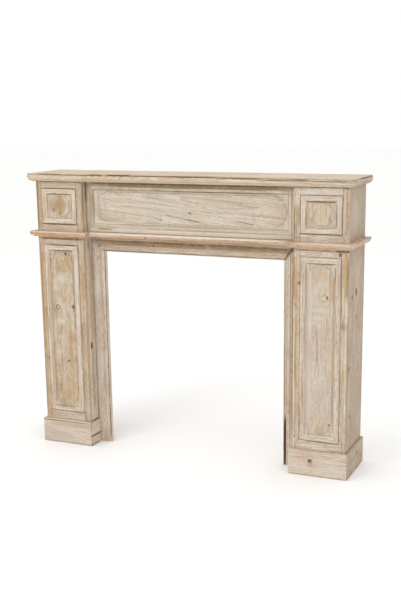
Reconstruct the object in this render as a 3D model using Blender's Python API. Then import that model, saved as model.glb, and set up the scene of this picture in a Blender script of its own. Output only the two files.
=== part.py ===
"""Limewashed softwood fireplace surround, built board by board.

Frame: +Z up, the room side faces -Y, X runs to the viewer's right. The origin is on the floor,
at the middle of the bounding box. Sizes are in metres. "Depth" is always measured out from the
wall plane that the back of the surround stands against.
"""

import math

import bmesh
import bpy
from mathutils import Matrix, Vector

# Overall sizes
SHELF_WIDTH = 1.260
SHELF_DEPTH = 0.235
TOTAL_HEIGHT = 1.050

# Main divisions
OVERHANG = 0.023             # shelf and necking mouldings stand this far proud of the legs
LEG_WIDTH = 0.195
FRIEZE_SET_BACK = 0.030      # frieze frame behind the leg fronts
ARCHITRAVE_SET_BACK = 0.066  # opening surround behind the leg fronts
FRIEZE_HEIGHT = 0.186        # from the necking's top to the shelf's underside
NECKING_HEIGHT = 0.021
PLINTH_HEIGHT = 0.094
PLINTH_FRONT_THICKNESS = 0.012
PLINTH_SIDE_THICKNESS = 0.010

# Boards
SIDE_BOARD_THICKNESS = 0.015
INNER_BOARD_SET_IN = 0.050   # inner side boards stop this far short of the wall
FACE_FRAME_THICKNESS = 0.014

# Mantel board and its edge moulding
SHELF_THICKNESS = 0.030
SHELF_LIP_THICKNESS = 0.005
SHELF_FILLET = 0.006
SHELF_OVOLO_REACH = 0.018

# Necking moulding
NECKING_FILLET = 0.004
NECKING_OVOLO_REACH = 0.0175

# Face frames of the corner blocks and pilasters
STILE_WIDTH = 0.024
BLOCK_BOTTOM_MARGIN = 0.028  # from the necking's top to the block opening
BLOCK_TOP_MARGIN = 0.027     # from the block opening to the shelf's underside
PILASTER_TOP_MARGIN = 0.030  # from the pilaster opening to the necking's underside
PILASTER_BOTTOM_MARGIN = 0.035  # from the plinth's top to the pilaster opening

# Panels and the mitred moulding round them
PANEL_RECESS = 0.005
PANEL_MOULDING_WIDTH = 0.020
PANEL_MOULDING_PROUD = 0.003  # beyond the face frame
PANEL_MOULDING_QUIRK = 0.001  # open line between the moulding and the face frame
PANEL_MOULDING_BAND = 0.009
PANEL_MOULDING_SHOULDER = 0.0025
PANEL_MOULDING_STEP = 0.001
PANEL_MOULDING_LIP = 0.0025
FIELD_MARGIN = 0.0065
FIELD_BEVEL = 0.006
FIELD_RISE = 0.003

# Frieze
FRIEZE_FRAME_WIDTH = 0.030
FRIEZE_FRAME_THICKNESS = 0.009
FRIEZE_FRAME_FLAT = 0.016
FRIEZE_FRAME_LIP = 0.002
FRIEZE_PANEL_THICKNESS = 0.010
FRIEZE_END_GAP = 0.001       # open line against the corner blocks

# Opening surround
ARCHITRAVE_WIDTH = 0.056
ARCHITRAVE_THICKNESS = 0.012
ARCHITRAVE_FASCIA = 0.020
ARCHITRAVE_BEAD = 0.006
ARCHITRAVE_BEAD_RISE = 0.002
ARCHITRAVE_STEP = 0.0015
ARCHITRAVE_BAND = 0.017
ARCHITRAVE_BAND_RISE = 0.004

# Fits and smoothness of the curves
GAP = 0.0003                 # between pieces that touch
MITRE_GAP = GAP / math.sqrt(2)
CUTTER_MARGIN = 0.010
UNION_OVERLAP = 0.002
MERGE_DISTANCE = 1e-6
OVOLO_STEPS = 8
SHOULDER_STEPS = 3
BEAD_STEPS = 6
FIELD_SEGMENTS = 56
FIELD_EDGE_STEPS = 3

# Derived places
HALF_OUTER = SHELF_WIDTH / 2 - OVERHANG
HALF_INNER = HALF_OUTER - LEG_WIDTH
HALF_OPENING = HALF_INNER - ARCHITRAVE_WIDTH
WALL_Y = SHELF_DEPTH / 2
LEG_DEPTH = SHELF_DEPTH - OVERHANG
LEG_BOARD_DEPTH = LEG_DEPTH - FACE_FRAME_THICKNESS
FRIEZE_DEPTH = LEG_DEPTH - FRIEZE_SET_BACK
FRIEZE_PANEL_DEPTH = FRIEZE_DEPTH - FRIEZE_FRAME_THICKNESS
ARCHITRAVE_DEPTH = LEG_DEPTH - ARCHITRAVE_SET_BACK
ARCHITRAVE_BACK_DEPTH = ARCHITRAVE_DEPTH - ARCHITRAVE_THICKNESS
PANEL_DEPTH = LEG_DEPTH - PANEL_RECESS
SHELF_UNDERSIDE = TOTAL_HEIGHT - SHELF_THICKNESS
LIP_UNDERSIDE = TOTAL_HEIGHT - SHELF_LIP_THICKNESS
NECKING_TOP = SHELF_UNDERSIDE - FRIEZE_HEIGHT
NECKING_UNDERSIDE = NECKING_TOP - NECKING_HEIGHT
FRAME_SPLIT = NECKING_TOP - NECKING_HEIGHT / 2
OPENING_TOP = NECKING_UNDERSIDE - ARCHITRAVE_WIDTH
BLOCK_OPENING = (NECKING_TOP + BLOCK_BOTTOM_MARGIN, SHELF_UNDERSIDE - BLOCK_TOP_MARGIN)
PILASTER_OPENING = (PLINTH_HEIGHT + PILASTER_BOTTOM_MARGIN, NECKING_UNDERSIDE - PILASTER_TOP_MARGIN)
PANEL_SPAN = (HALF_INNER + STILE_WIDTH, HALF_OUTER - STILE_WIDTH)

# Directions
RIGHT = Vector((1, 0, 0))
FORWARD = Vector((0, -1, 0))
UP = Vector((0, 0, 1))

# Base colours, linear
LIMED_PALE = (0.62, 0.53, 0.41)
LIMED_TAN = (0.52, 0.41, 0.29)
LIMED_GREY = (0.50, 0.45, 0.37)
WORN_AMBER = (0.50, 0.33, 0.19)
BARE_PINE = (0.45, 0.30, 0.17)
WOOD_ROUGHNESS = 0.78


def clear_scene():
    """Empty the scene and return the collections for the pieces and the cutters."""
    for obj in list(bpy.data.objects):
        bpy.data.objects.remove(obj, do_unlink=True)
    collections = []
    for name in ("fireplace_surround", "cutters"):
        collection = bpy.data.collections.new(name)
        bpy.context.scene.collection.children.link(collection)
        collections.append(collection)
    return collections


PIECES, CUTTERS = clear_scene()


def file_under(obj, collection):
    """Keep an object in one collection only."""
    for other in list(obj.users_collection):
        other.objects.unlink(obj)
    collection.objects.link(obj)


def paint(obj, colour):
    """Give a piece its own wood material, matt as limewash and bare softwood are."""
    material = bpy.data.materials.new(obj.name)
    material.use_nodes = True
    shader = material.node_tree.nodes["Principled BSDF"]
    shader.inputs["Base Color"].default_value = (*colour, 1.0)
    shader.inputs["Roughness"].default_value = WOOD_ROUGHNESS
    shader.inputs["Metallic"].default_value = 0.0
    obj.data.materials.clear()
    obj.data.materials.append(material)


def wall_plane(depth):
    """Y of the plane that stands a given depth out from the wall."""
    return WALL_Y - depth


def box(name, x_span, depth_span, z_span, collection=PIECES):
    """A rectangular board between two X values, two depths from the wall and two heights."""
    x_low, x_high = sorted(x_span)
    y_low, y_high = sorted(wall_plane(depth) for depth in depth_span)
    z_low, z_high = sorted(z_span)
    centre = ((x_low + x_high) / 2, (y_low + y_high) / 2, (z_low + z_high) / 2)
    bpy.ops.mesh.primitive_cube_add(size=1.0, location=centre)
    obj = bpy.context.object
    obj.name = name
    obj.data.name = name
    size = (x_high - x_low, y_high - y_low, z_high - z_low)
    obj.data.transform(Matrix.Diagonal((*size, 1.0)))
    file_under(obj, collection)
    return obj


def board(name, x_span, depth_span, z_span, colour):
    """A plain board of the surround."""
    obj = box(name, x_span, depth_span, z_span)
    paint(obj, colour)
    return obj


def boolean(obj, other, operation):
    """Cut or join a piece with an exact Boolean whose other shape stays as a guide."""
    other.hide_render = True
    other.display_type = "WIRE"
    modifier = obj.modifiers.new(other.name, "BOOLEAN")
    modifier.operation = operation
    modifier.solver = "EXACT"
    modifier.object = other


def arc(centre, radii, start_deg, end_deg, steps):
    """Points along an ellipse's arc, ends included."""
    points = []
    for index in range(steps + 1):
        angle = math.radians(start_deg + (end_deg - start_deg) * index / steps)
        points.append((centre[0] + radii[0] * math.cos(angle), centre[1] + radii[1] * math.sin(angle)))
    return points


def ovolo_profile(height, fillet, reach):
    """Section of a nosing: flat back and top, upright fillet, then a convex quarter ellipse."""
    quarter = arc((OVERHANG - reach, height - fillet), (reach, height - fillet), -90, 0, OVOLO_STEPS)
    return [(GAP, 0.0)] + quarter + [(OVERHANG, height), (GAP, height)]


def shelf_profile():
    """Section of the ovolo moulding under the mantel board's lip."""
    return ovolo_profile(SHELF_THICKNESS - SHELF_LIP_THICKNESS - GAP, SHELF_FILLET, SHELF_OVOLO_REACH)


def necking_profile():
    """Section of the necking moulding."""
    return ovolo_profile(NECKING_HEIGHT, NECKING_FILLET, NECKING_OVOLO_REACH)


def panel_moulding_profile():
    """Section of the moulding round a panel: outer band, small step, ovolo down to the panel."""
    width = PANEL_MOULDING_WIDTH
    peak = PANEL_RECESS + PANEL_MOULDING_PROUD
    shoulder = PANEL_MOULDING_SHOULDER
    inner = width - PANEL_MOULDING_BAND
    crown = peak - PANEL_MOULDING_STEP
    outer_corner = arc((width - shoulder, peak - shoulder), (shoulder, shoulder), 0, 90, SHOULDER_STEPS)
    ovolo = arc((inner, PANEL_MOULDING_LIP), (inner, crown - PANEL_MOULDING_LIP), 90, 180, OVOLO_STEPS)
    return [(0.0, GAP), (width, GAP)] + outer_corner + [(inner, peak)] + ovolo


def frieze_frame_profile():
    """Section of the frieze's frame: a flat, a small step and an ovolo down to the panel."""
    slope = FRIEZE_FRAME_WIDTH - FRIEZE_FRAME_FLAT
    crown = FRIEZE_FRAME_THICKNESS - PANEL_MOULDING_STEP
    ovolo = arc((slope, FRIEZE_FRAME_LIP), (slope, crown - FRIEZE_FRAME_LIP), 90, 180, OVOLO_STEPS)
    flat = [(FRIEZE_FRAME_WIDTH, FRIEZE_FRAME_THICKNESS), (slope, FRIEZE_FRAME_THICKNESS)]
    return [(0.0, GAP), (FRIEZE_FRAME_WIDTH, GAP)] + flat + ovolo


def architrave_profile():
    """Section of the opening surround: fascia, bead, second fascia and a rounded outer band."""
    width = ARCHITRAVE_WIDTH - GAP
    level = ARCHITRAVE_THICKNESS
    top = level + ARCHITRAVE_BAND_RISE
    shoulder = ARCHITRAVE_BAND_RISE - ARCHITRAVE_STEP
    band_start = ARCHITRAVE_WIDTH - ARCHITRAVE_BAND
    bead_half = ARCHITRAVE_BEAD / 2
    outer = arc((width - shoulder, top - shoulder), (shoulder, shoulder), 0, 90, SHOULDER_STEPS)
    inner = arc((band_start + shoulder, top - shoulder), (shoulder, shoulder), 90, 180, SHOULDER_STEPS)
    bead = arc((ARCHITRAVE_FASCIA + bead_half, level), (bead_half, ARCHITRAVE_BEAD_RISE), 0, 180, BEAD_STEPS)
    second = [(ARCHITRAVE_FASCIA + ARCHITRAVE_BEAD + ARCHITRAVE_STEP, level + ARCHITRAVE_STEP)]
    return [(0.0, 0.0), (width, 0.0)] + outer + inner + second + bead + [(0.0, level)]


def profile_prism(name, profile, half_length):
    """A closed mesh of a section, extruded both ways from its own plane."""
    curve = bpy.data.curves.new(name, "CURVE")
    curve.dimensions = "2D"
    curve.fill_mode = "BOTH"
    curve.extrude = half_length
    spline = curve.splines.new("POLY")
    spline.points.add(len(profile) - 1)
    for point, (across, rise) in zip(spline.points, profile):
        point.co = (across, rise, 0.0, 1.0)
    spline.use_cyclic_u = True
    source = bpy.data.objects.new(name, curve)
    PIECES.objects.link(source)
    bpy.context.view_layer.update()
    evaluated = source.evaluated_get(bpy.context.evaluated_depsgraph_get())
    mesh = bpy.data.meshes.new_from_object(evaluated)
    bpy.data.objects.remove(source, do_unlink=True)
    bpy.data.curves.remove(curve)
    return mesh


def moulding(name, profile, start, end, across, rise, mitres, colour):
    """A straight run of moulding with square or mitred ends.

    start and end lie on the line where the section's own origin runs. across and rise are the
    world directions of the section's two axes. Each of the two mitres tells how far that end
    grows for each unit across: 0 is a square end, 1 an outside mitre and -1 an inside one.
    """
    start, end = Vector(start), Vector(end)
    along = across.cross(rise)
    if along.dot(end - start) < 0:
        start, end = end, start
        mitres = tuple(reversed(mitres))
    half_length = (end - start).length / 2
    mesh = profile_prism(name, profile, half_length)
    bm = bmesh.new()
    bm.from_mesh(mesh)
    bmesh.ops.remove_doubles(bm, verts=bm.verts, dist=MERGE_DISTANCE)
    for vert in bm.verts:
        mitre = mitres[1] if vert.co.z > 0 else mitres[0]
        growth = mitre * vert.co.x - (MITRE_GAP if mitre else 0.0)
        vert.co.z += math.copysign(1.0, vert.co.z) * growth
    bmesh.ops.recalc_face_normals(bm, faces=bm.faces)
    bm.to_mesh(mesh)
    bm.free()
    obj = bpy.data.objects.new(name, mesh)
    axes = Matrix((across, rise, along)).transposed()
    obj.matrix_world = Matrix.Translation((start + end) / 2) @ axes.to_4x4()
    PIECES.objects.link(obj)
    paint(obj, colour)
    return obj


def moulding_ring(name, profile, centre, half_width, half_height, colour):
    """A rectangular frame of moulding, glued up as one: the section spun round four corners."""
    bm = bmesh.new()
    verts = []
    for across, rise in profile:
        corner = half_height + across
        verts.append(bm.verts.new((corner, corner, rise)))
    edges = [bm.edges.new((a, b)) for a, b in zip(verts, verts[1:] + verts[:1])]
    bmesh.ops.spin(bm, geom=verts + edges, axis=(0, 0, 1), cent=(0, 0, 0), angle=math.tau, steps=4)
    bmesh.ops.remove_doubles(bm, verts=bm.verts, dist=MERGE_DISTANCE)
    for vert in bm.verts:
        vert.co.x += math.copysign(1.0, vert.co.x) * (half_width - half_height)
    bmesh.ops.recalc_face_normals(bm, faces=bm.faces)
    mesh = bpy.data.meshes.new(name)
    bm.to_mesh(mesh)
    bm.free()
    obj = bpy.data.objects.new(name, mesh)
    axes = Matrix((RIGHT, UP, FORWARD)).transposed()
    obj.matrix_world = Matrix.Translation(centre) @ axes.to_4x4()
    PIECES.objects.link(obj)
    paint(obj, colour)
    return obj


def raised_field(name, centre, half_width, half_height):
    """A low raised field with round ends and softly rounded edges, as a shape to join on."""
    radius = min(half_width, half_height)
    straight = (half_width - radius, half_height - radius)
    rings = [(radius, 0.0)]
    for index in range(1, FIELD_EDGE_STEPS + 1):
        angle = math.radians(90 * index / FIELD_EDGE_STEPS)
        rings.append((radius - FIELD_BEVEL * (1 - math.cos(angle)), FIELD_RISE * math.sin(angle)))
    bm = bmesh.new()
    circle = bmesh.ops.create_circle(bm, cap_ends=True, radius=radius, segments=FIELD_SEGMENTS)
    half_step = Matrix.Rotation(math.pi / FIELD_SEGMENTS, 3, "Z")
    bmesh.ops.rotate(bm, verts=circle["verts"], cent=(0, 0, 0), matrix=half_step)
    for vert in circle["verts"]:
        vert.co.x += math.copysign(straight[0], vert.co.x)
        vert.co.y += math.copysign(straight[1], vert.co.y)
        vert.co.z = -UNION_OVERLAP
    base = circle["verts"][0].link_faces[0]
    cap = base
    current = radius
    for ring_radius, height in rings:
        grown = bmesh.ops.extrude_face_region(bm, geom=[cap])["geom"]
        if cap is not base:
            bm.faces.remove(cap)
        cap = next(item for item in grown if isinstance(item, bmesh.types.BMFace))
        for vert in cap.verts:
            core = Vector((math.copysign(straight[0], vert.co.x), math.copysign(straight[1], vert.co.y)))
            vert.co.xy = core + (vert.co.xy - core) * ring_radius / current
            vert.co.z = height
        current = ring_radius
    bmesh.ops.recalc_face_normals(bm, faces=bm.faces)
    mesh = bpy.data.meshes.new(name)
    bm.to_mesh(mesh)
    bm.free()
    obj = bpy.data.objects.new(name, mesh)
    axes = Matrix((RIGHT, UP, FORWARD)).transposed()
    obj.matrix_world = Matrix.Translation(centre) @ axes.to_4x4()
    CUTTERS.objects.link(obj)
    return obj


def panel(name, x_span, depth_span, z_span, field_x, field_z, colour):
    """A panel board with a raised field on its front, centred in the given clear opening."""
    obj = board(name, x_span, depth_span, z_span, colour)
    centre = (sum(field_x) / 2, wall_plane(max(depth_span)), sum(field_z) / 2)
    half_width = abs(field_x[1] - field_x[0]) / 2 - FIELD_MARGIN
    half_height = abs(field_z[1] - field_z[0]) / 2 - FIELD_MARGIN
    boolean(obj, raised_field(name + "_field", centre, half_width, half_height), "UNION")
    return obj


def build_shelf():
    """Mantel board, rebated along its front and ends, and the ovolo strips in the rebate."""
    half = SHELF_WIDTH / 2
    mantel = board("mantel_board", (-half, half), (0.0, SHELF_DEPTH), (SHELF_UNDERSIDE, TOTAL_HEIGHT),
                   LIMED_PALE)
    rebate_z = (SHELF_UNDERSIDE - CUTTER_MARGIN, LIP_UNDERSIDE)
    past_end = half + CUTTER_MARGIN
    past_front = SHELF_DEPTH + CUTTER_MARGIN
    front = box("rebate_front", (-past_end, past_end), (LEG_DEPTH, past_front), rebate_z, CUTTERS)
    boolean(mantel, front, "DIFFERENCE")
    front_y = wall_plane(LEG_DEPTH)
    for side_name, side in SIDES:
        end = box("rebate_" + side_name, (side * HALF_OUTER, side * past_end),
                  (-CUTTER_MARGIN, past_front), rebate_z, CUTTERS)
        boolean(mantel, end, "DIFFERENCE")
        outer = side * HALF_OUTER
        moulding("shelf_moulding_" + side_name, shelf_profile(), (outer, WALL_Y, SHELF_UNDERSIDE),
                 (outer, front_y, SHELF_UNDERSIDE), side * RIGHT, UP, (0, 1), LIMED_TAN)
    moulding("shelf_moulding_front", shelf_profile(), (-HALF_OUTER, front_y, SHELF_UNDERSIDE),
             (HALF_OUTER, front_y, SHELF_UNDERSIDE), FORWARD, UP, (1, 1), LIMED_PALE)


def build_leg_boards(side_name, side):
    """The two side boards of a leg, from the floor to the shelf."""
    z_span = (0.0, SHELF_UNDERSIDE - GAP)
    front = LEG_BOARD_DEPTH - GAP
    outer = (side * (HALF_OUTER - SIDE_BOARD_THICKNESS), side * HALF_OUTER)
    inner = (side * HALF_INNER, side * (HALF_INNER + SIDE_BOARD_THICKNESS))
    board(side_name + "_leg_outer_board", outer, (0.0, front), z_span, LIMED_TAN)
    board(side_name + "_leg_inner_board", inner, (INNER_BOARD_SET_IN, front), z_span, LIMED_TAN)


def build_face_frame(prefix, side, z_span, opening, colours):
    """Two full-height stiles and two rails round a panel's opening."""
    depths = (LEG_BOARD_DEPTH, LEG_DEPTH)
    rail_x = (side * (PANEL_SPAN[0] + GAP), side * (PANEL_SPAN[1] - GAP))
    board(prefix + "_inner_stile", (side * HALF_INNER, side * PANEL_SPAN[0]), depths, z_span, colours[0])
    board(prefix + "_outer_stile", (side * PANEL_SPAN[1], side * HALF_OUTER), depths, z_span, colours[1])
    board(prefix + "_bottom_rail", rail_x, depths, (z_span[0], opening[0]), colours[2])
    board(prefix + "_top_rail", rail_x, depths, (opening[1], z_span[1]), colours[3])


def build_framed_panel(prefix, side, opening, colour):
    """The panel in a face frame's opening; returns the clear size inside its moulding."""
    inset = PANEL_MOULDING_QUIRK + PANEL_MOULDING_WIDTH
    clear_x = (side * (PANEL_SPAN[0] + inset), side * (PANEL_SPAN[1] - inset))
    clear_z = (opening[0] + inset, opening[1] - inset)
    panel(prefix + "_panel", (side * (PANEL_SPAN[0] + GAP), side * (PANEL_SPAN[1] - GAP)),
          (LEG_BOARD_DEPTH, PANEL_DEPTH), (opening[0] + GAP, opening[1] - GAP), clear_x, clear_z, colour)
    return clear_x, clear_z


def build_corner_block(side_name, side):
    """Corner block: face frame, panel with a raised disc and a glued-up moulding frame."""
    prefix = side_name + "_block"
    z_span = (FRAME_SPLIT + GAP, SHELF_UNDERSIDE - GAP)
    build_face_frame(prefix, side, z_span, BLOCK_OPENING, (LIMED_PALE, LIMED_TAN, LIMED_GREY, LIMED_PALE))
    clear_x, clear_z = build_framed_panel(prefix, side, BLOCK_OPENING, LIMED_TAN)
    centre = (sum(clear_x) / 2, wall_plane(PANEL_DEPTH), sum(clear_z) / 2)
    half_width = abs(clear_x[1] - clear_x[0]) / 2
    half_height = abs(clear_z[1] - clear_z[0]) / 2
    moulding_ring(prefix + "_moulding", panel_moulding_profile(), centre, half_width, half_height, LIMED_PALE)


def build_pilaster(side_name, side):
    """Pilaster: face frame, long panel with a round-ended field and four mitred mouldings."""
    prefix = side_name + "_pilaster"
    colours = (LIMED_TAN, WORN_AMBER, LIMED_PALE, LIMED_PALE)
    build_face_frame(prefix, side, (0.0, FRAME_SPLIT), PILASTER_OPENING, colours)
    clear_x, clear_z = build_framed_panel(prefix, side, PILASTER_OPENING, LIMED_TAN)
    plane = wall_plane(PANEL_DEPTH)
    inner_x, outer_x = clear_x
    low_z, high_z = clear_z
    runs = {
        "inner": ((inner_x, plane, low_z), (inner_x, plane, high_z), -side * RIGHT),
        "outer": ((outer_x, plane, low_z), (outer_x, plane, high_z), side * RIGHT),
        "bottom": ((inner_x, plane, low_z), (outer_x, plane, low_z), -UP),
        "top": ((inner_x, plane, high_z), (outer_x, plane, high_z), UP),
    }
    for place, (start, end, across) in runs.items():
        moulding(prefix + "_moulding_" + place, panel_moulding_profile(), start, end, across, FORWARD,
                 (1, 1), LIMED_PALE)


def build_necking(side_name, side):
    """The necking moulding's three runs round one leg."""
    z = NECKING_UNDERSIDE
    outer_x = side * HALF_OUTER
    inner_x = side * HALF_INNER
    front_y = wall_plane(LEG_DEPTH)
    frieze_y = wall_plane(FRIEZE_DEPTH)
    profile = necking_profile()
    moulding(side_name + "_necking_outer", profile, (outer_x, WALL_Y, z), (outer_x, front_y, z),
             side * RIGHT, UP, (0, 1), LIMED_TAN)
    moulding(side_name + "_necking_front", profile, (inner_x, front_y, z), (outer_x, front_y, z),
             FORWARD, UP, (1, 1), WORN_AMBER)
    moulding(side_name + "_necking_inner", profile, (inner_x, front_y, z), (inner_x, frieze_y, z),
             -side * RIGHT, UP, (1, -1), LIMED_TAN)


def plinth_profile(thickness):
    """Section of a plain plinth board."""
    return [(GAP, 0.0), (thickness, 0.0), (thickness, PLINTH_HEIGHT), (GAP, PLINTH_HEIGHT)]


def build_plinth(side_name, side):
    """Plinth boards round one foot, mitred at the two front corners."""
    front_y = wall_plane(LEG_DEPTH)
    jamb_y = wall_plane(ARCHITRAVE_DEPTH + ARCHITRAVE_BAND_RISE + GAP)
    inner_x = side * HALF_INNER
    outer_x = side * HALF_OUTER
    front_growth = PLINTH_SIDE_THICKNESS / PLINTH_FRONT_THICKNESS
    side_growth = PLINTH_FRONT_THICKNESS / PLINTH_SIDE_THICKNESS
    front = plinth_profile(PLINTH_FRONT_THICKNESS)
    flank = plinth_profile(PLINTH_SIDE_THICKNESS)
    moulding(side_name + "_plinth_front", front, (inner_x, front_y, 0), (outer_x, front_y, 0),
             FORWARD, UP, (front_growth, front_growth), LIMED_PALE)
    moulding(side_name + "_plinth_outer", flank, (outer_x, WALL_Y, 0), (outer_x, front_y, 0),
             side * RIGHT, UP, (0, side_growth), LIMED_TAN)
    moulding(side_name + "_plinth_inner", flank, (inner_x, jamb_y, 0), (inner_x, front_y, 0),
             -side * RIGHT, UP, (0, side_growth), LIMED_TAN)


def build_frieze():
    """Set-back frieze between the corner blocks: backing panel, round-ended field, mitred frame."""
    half = HALF_INNER - FRIEZE_END_GAP
    z_span = (NECKING_TOP + GAP, SHELF_UNDERSIDE - GAP)
    inner = half - FRIEZE_FRAME_WIDTH
    low_z = z_span[0] + FRIEZE_FRAME_WIDTH
    high_z = z_span[1] - FRIEZE_FRAME_WIDTH
    depths = (FRIEZE_PANEL_DEPTH - FRIEZE_PANEL_THICKNESS, FRIEZE_PANEL_DEPTH)
    panel("frieze_panel", (-half, half), depths, z_span, (-inner, inner), (low_z, high_z), LIMED_PALE)
    plane = wall_plane(FRIEZE_PANEL_DEPTH)
    runs = {
        "left": ((-inner, plane, low_z), (-inner, plane, high_z), -RIGHT, LIMED_TAN),
        "right": ((inner, plane, low_z), (inner, plane, high_z), RIGHT, LIMED_PALE),
        "bottom": ((-inner, plane, low_z), (inner, plane, low_z), -UP, LIMED_PALE),
        "top": ((-inner, plane, high_z), (inner, plane, high_z), UP, LIMED_TAN),
    }
    for place, (start, end, across, colour) in runs.items():
        moulding("frieze_frame_" + place, frieze_frame_profile(), start, end, across, FORWARD, (1, 1), colour)


def build_centre_necking():
    """The necking's middle run on the frieze's plane, and the soffit board that backs it."""
    plane = wall_plane(FRIEZE_DEPTH)
    moulding("necking_centre", necking_profile(), (-HALF_INNER, plane, NECKING_UNDERSIDE),
             (HALF_INNER, plane, NECKING_UNDERSIDE), FORWARD, UP, (-1, -1), WORN_AMBER)
    half = HALF_INNER - GAP
    board("soffit_board", (-half, half), (ARCHITRAVE_BACK_DEPTH, FRIEZE_DEPTH),
          (NECKING_UNDERSIDE, NECKING_TOP), BARE_PINE)


def build_architrave():
    """Moulded surround of the opening: two jambs from the floor and a lintel, mitred."""
    plane = wall_plane(ARCHITRAVE_BACK_DEPTH)
    profile = architrave_profile()
    for side_name, side in SIDES:
        x = side * HALF_OPENING
        moulding("architrave_" + side_name, profile, (x, plane, 0.0), (x, plane, OPENING_TOP),
                 side * RIGHT, FORWARD, (0, 1), LIMED_GREY)
    moulding("architrave_lintel", profile, (-HALF_OPENING, plane, OPENING_TOP),
             (HALF_OPENING, plane, OPENING_TOP), UP, FORWARD, (1, 1), LIMED_TAN)


SIDES = (("left", -1), ("right", 1))

build_shelf()
for leg_name, leg_side in SIDES:
    build_leg_boards(leg_name, leg_side)
    build_corner_block(leg_name, leg_side)
    build_pilaster(leg_name, leg_side)
    build_necking(leg_name, leg_side)
    build_plinth(leg_name, leg_side)
build_frieze()
build_centre_necking()
build_architrave()
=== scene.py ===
"""Looks of a limewashed pine fireplace surround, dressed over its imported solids.

Lengths are in metres unless a name ends in _mm. +X is the viewer's right, the room side faces -Y
and +Z is up. Every board and strip of the real thing is one piece here, with eased and worn
arrises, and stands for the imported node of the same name.
"""

import logging
import math
import zlib
from dataclasses import dataclass, field
from enum import Enum
from typing import Callable, Optional, Sequence, Union

import bmesh
import bpy
from mathutils import Euler, Matrix, Vector

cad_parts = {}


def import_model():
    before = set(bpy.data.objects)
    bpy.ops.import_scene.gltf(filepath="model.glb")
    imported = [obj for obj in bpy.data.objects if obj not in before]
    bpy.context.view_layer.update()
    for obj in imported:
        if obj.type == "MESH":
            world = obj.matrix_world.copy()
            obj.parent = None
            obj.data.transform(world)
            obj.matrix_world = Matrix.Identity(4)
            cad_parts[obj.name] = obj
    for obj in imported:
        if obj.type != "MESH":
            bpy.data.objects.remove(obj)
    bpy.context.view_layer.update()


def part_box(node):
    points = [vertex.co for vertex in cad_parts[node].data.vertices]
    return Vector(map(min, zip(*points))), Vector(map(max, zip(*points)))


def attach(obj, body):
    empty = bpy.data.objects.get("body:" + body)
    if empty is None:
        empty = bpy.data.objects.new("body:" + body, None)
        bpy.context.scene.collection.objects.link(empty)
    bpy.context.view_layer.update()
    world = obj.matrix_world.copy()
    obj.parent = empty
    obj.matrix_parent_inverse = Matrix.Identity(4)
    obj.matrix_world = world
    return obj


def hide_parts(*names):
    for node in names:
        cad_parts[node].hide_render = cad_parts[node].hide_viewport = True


LOG = logging.getLogger("surround")

GAP = 0.0003                 # between pieces that touch
MITRE_GAP = GAP / math.sqrt(2)
OVERHANG = 0.023             # shelf and necking strips stand this far proud
ARRIS = 0.0009               # width of an eased edge
STILE_ARRIS = 0.0006
RAIL_ARRIS = 0.0002
LIP_ARRIS = 0.0012
ARRIS_SEGMENTS = 3
BOARD_WEAR = 0.0008          # depth of the dents along worn edges
STRIP_WEAR = 0.0009
SHELF_WEAR = 0.0012
DENT_SIZE = 0.035
DENT_LEVEL = 1.12            # above 1, so that dents only ever go in
SUPPORT = 0.0035             # distance of the edge loop that holds a worn arris tight
LENGTHWISE_STEP = 0.014      # spacing of cuts along a board, so that its arris can waver
OVOLO_STEPS = 12             # points round the curves of a section
SMALL_OVOLO_STEPS = 10
SHOULDER_STEPS = 5
SPARE_LENGTH = 0.002         # cut off again at a mitre
SEED_RADIUS = 0.01           # of a circle whose points are then moved into place
HAIR = 1e-6
SMOOTH_ANGLE = math.radians(40)
SHARP_TURN = math.radians(24)
FULL_WEAR_TURN = math.radians(28)
SQUARE_ON = 0.7              # a face whose normal has more than this along an axis looks along it
PARALLEL = 0.999             # cosine above which two directions are the same
NEARLY_PARALLEL = 0.98
WORN_FROM = 0.4              # how sharp a turn has to be, of 1, before it wears
DENT_DEPTH = 2               # how fine the texture of the dents goes
DENT_CONTRAST = 1.6
ARRIS_ATTRIBUTE = "arris"
BARE_ATTRIBUTE = "bare"
LEVEL_ATTRIBUTE = "level_grain"
MIX_FACTOR, MIX_A, MIX_B, MIX_RESULT = 0, 6, 7, 2   # sockets of a colour Mix node
VECTOR_A, VECTOR_B, VECTOR_RESULT = 4, 5, 1         # and of a vector one
LOWEST_CORNER, HIGHEST_CORNER = 0, 6                # of a bounding box

# Rates of the wood's patterns, per metre: along the fibres and twice across them
WANDER_RATE = (2.4, 10.0, 10.0)
SWELL_RATE = (5.0, 24.0, 24.0)
PORE_RATE = 65.0
HUE_RATE = 9.0
GAP_RATE = 48.0
RUB_RATE = 22.0
RING_TAPER = (0.10, 1.0, 1.0)   # the trunk narrows, so flat-cut rings show as arches
RING_SWELL = 0.010
BOARD_SPREAD = 4.0              # boards are cut from places up to this far apart in the pattern

RIGHT = Vector((1, 0, 0))
FORWARD = Vector((0, -1, 0))
UP = Vector((0, 0, 1))

Point = tuple[float, float]
Place = tuple[float, float, float]
Tree = bpy.types.NodeTree
Socket = bpy.types.NodeSocket
Piece = bpy.types.Object
Value = Union[float, Sequence[float], Socket]
Colour = Union[str, Socket]
FaceTest = Callable[[Vector, Vector], bool]


class Run(Enum):
    """Direction in which a board's fibres run."""

    ALONG_X = (0.0, 0.0, 0.0)
    ALONG_Y = (0.0, 0.0, -math.pi / 2)
    ALONG_Z = (0.0, math.pi / 2, 0.0)

    @property
    def axis(self) -> int:
        """Index of the axis that the fibres follow."""
        return list(Run).index(self)


class Side(Enum):
    """Left or right, as the viewer sees them."""

    LEFT = ("left", -1)
    RIGHT = ("right", 1)

    @property
    def word(self) -> str:
        """The side's name in piece names."""
        return self.value[0]

    @property
    def sign(self) -> int:
        """-1 on the left and 1 on the right."""
        return self.value[1]


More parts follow.
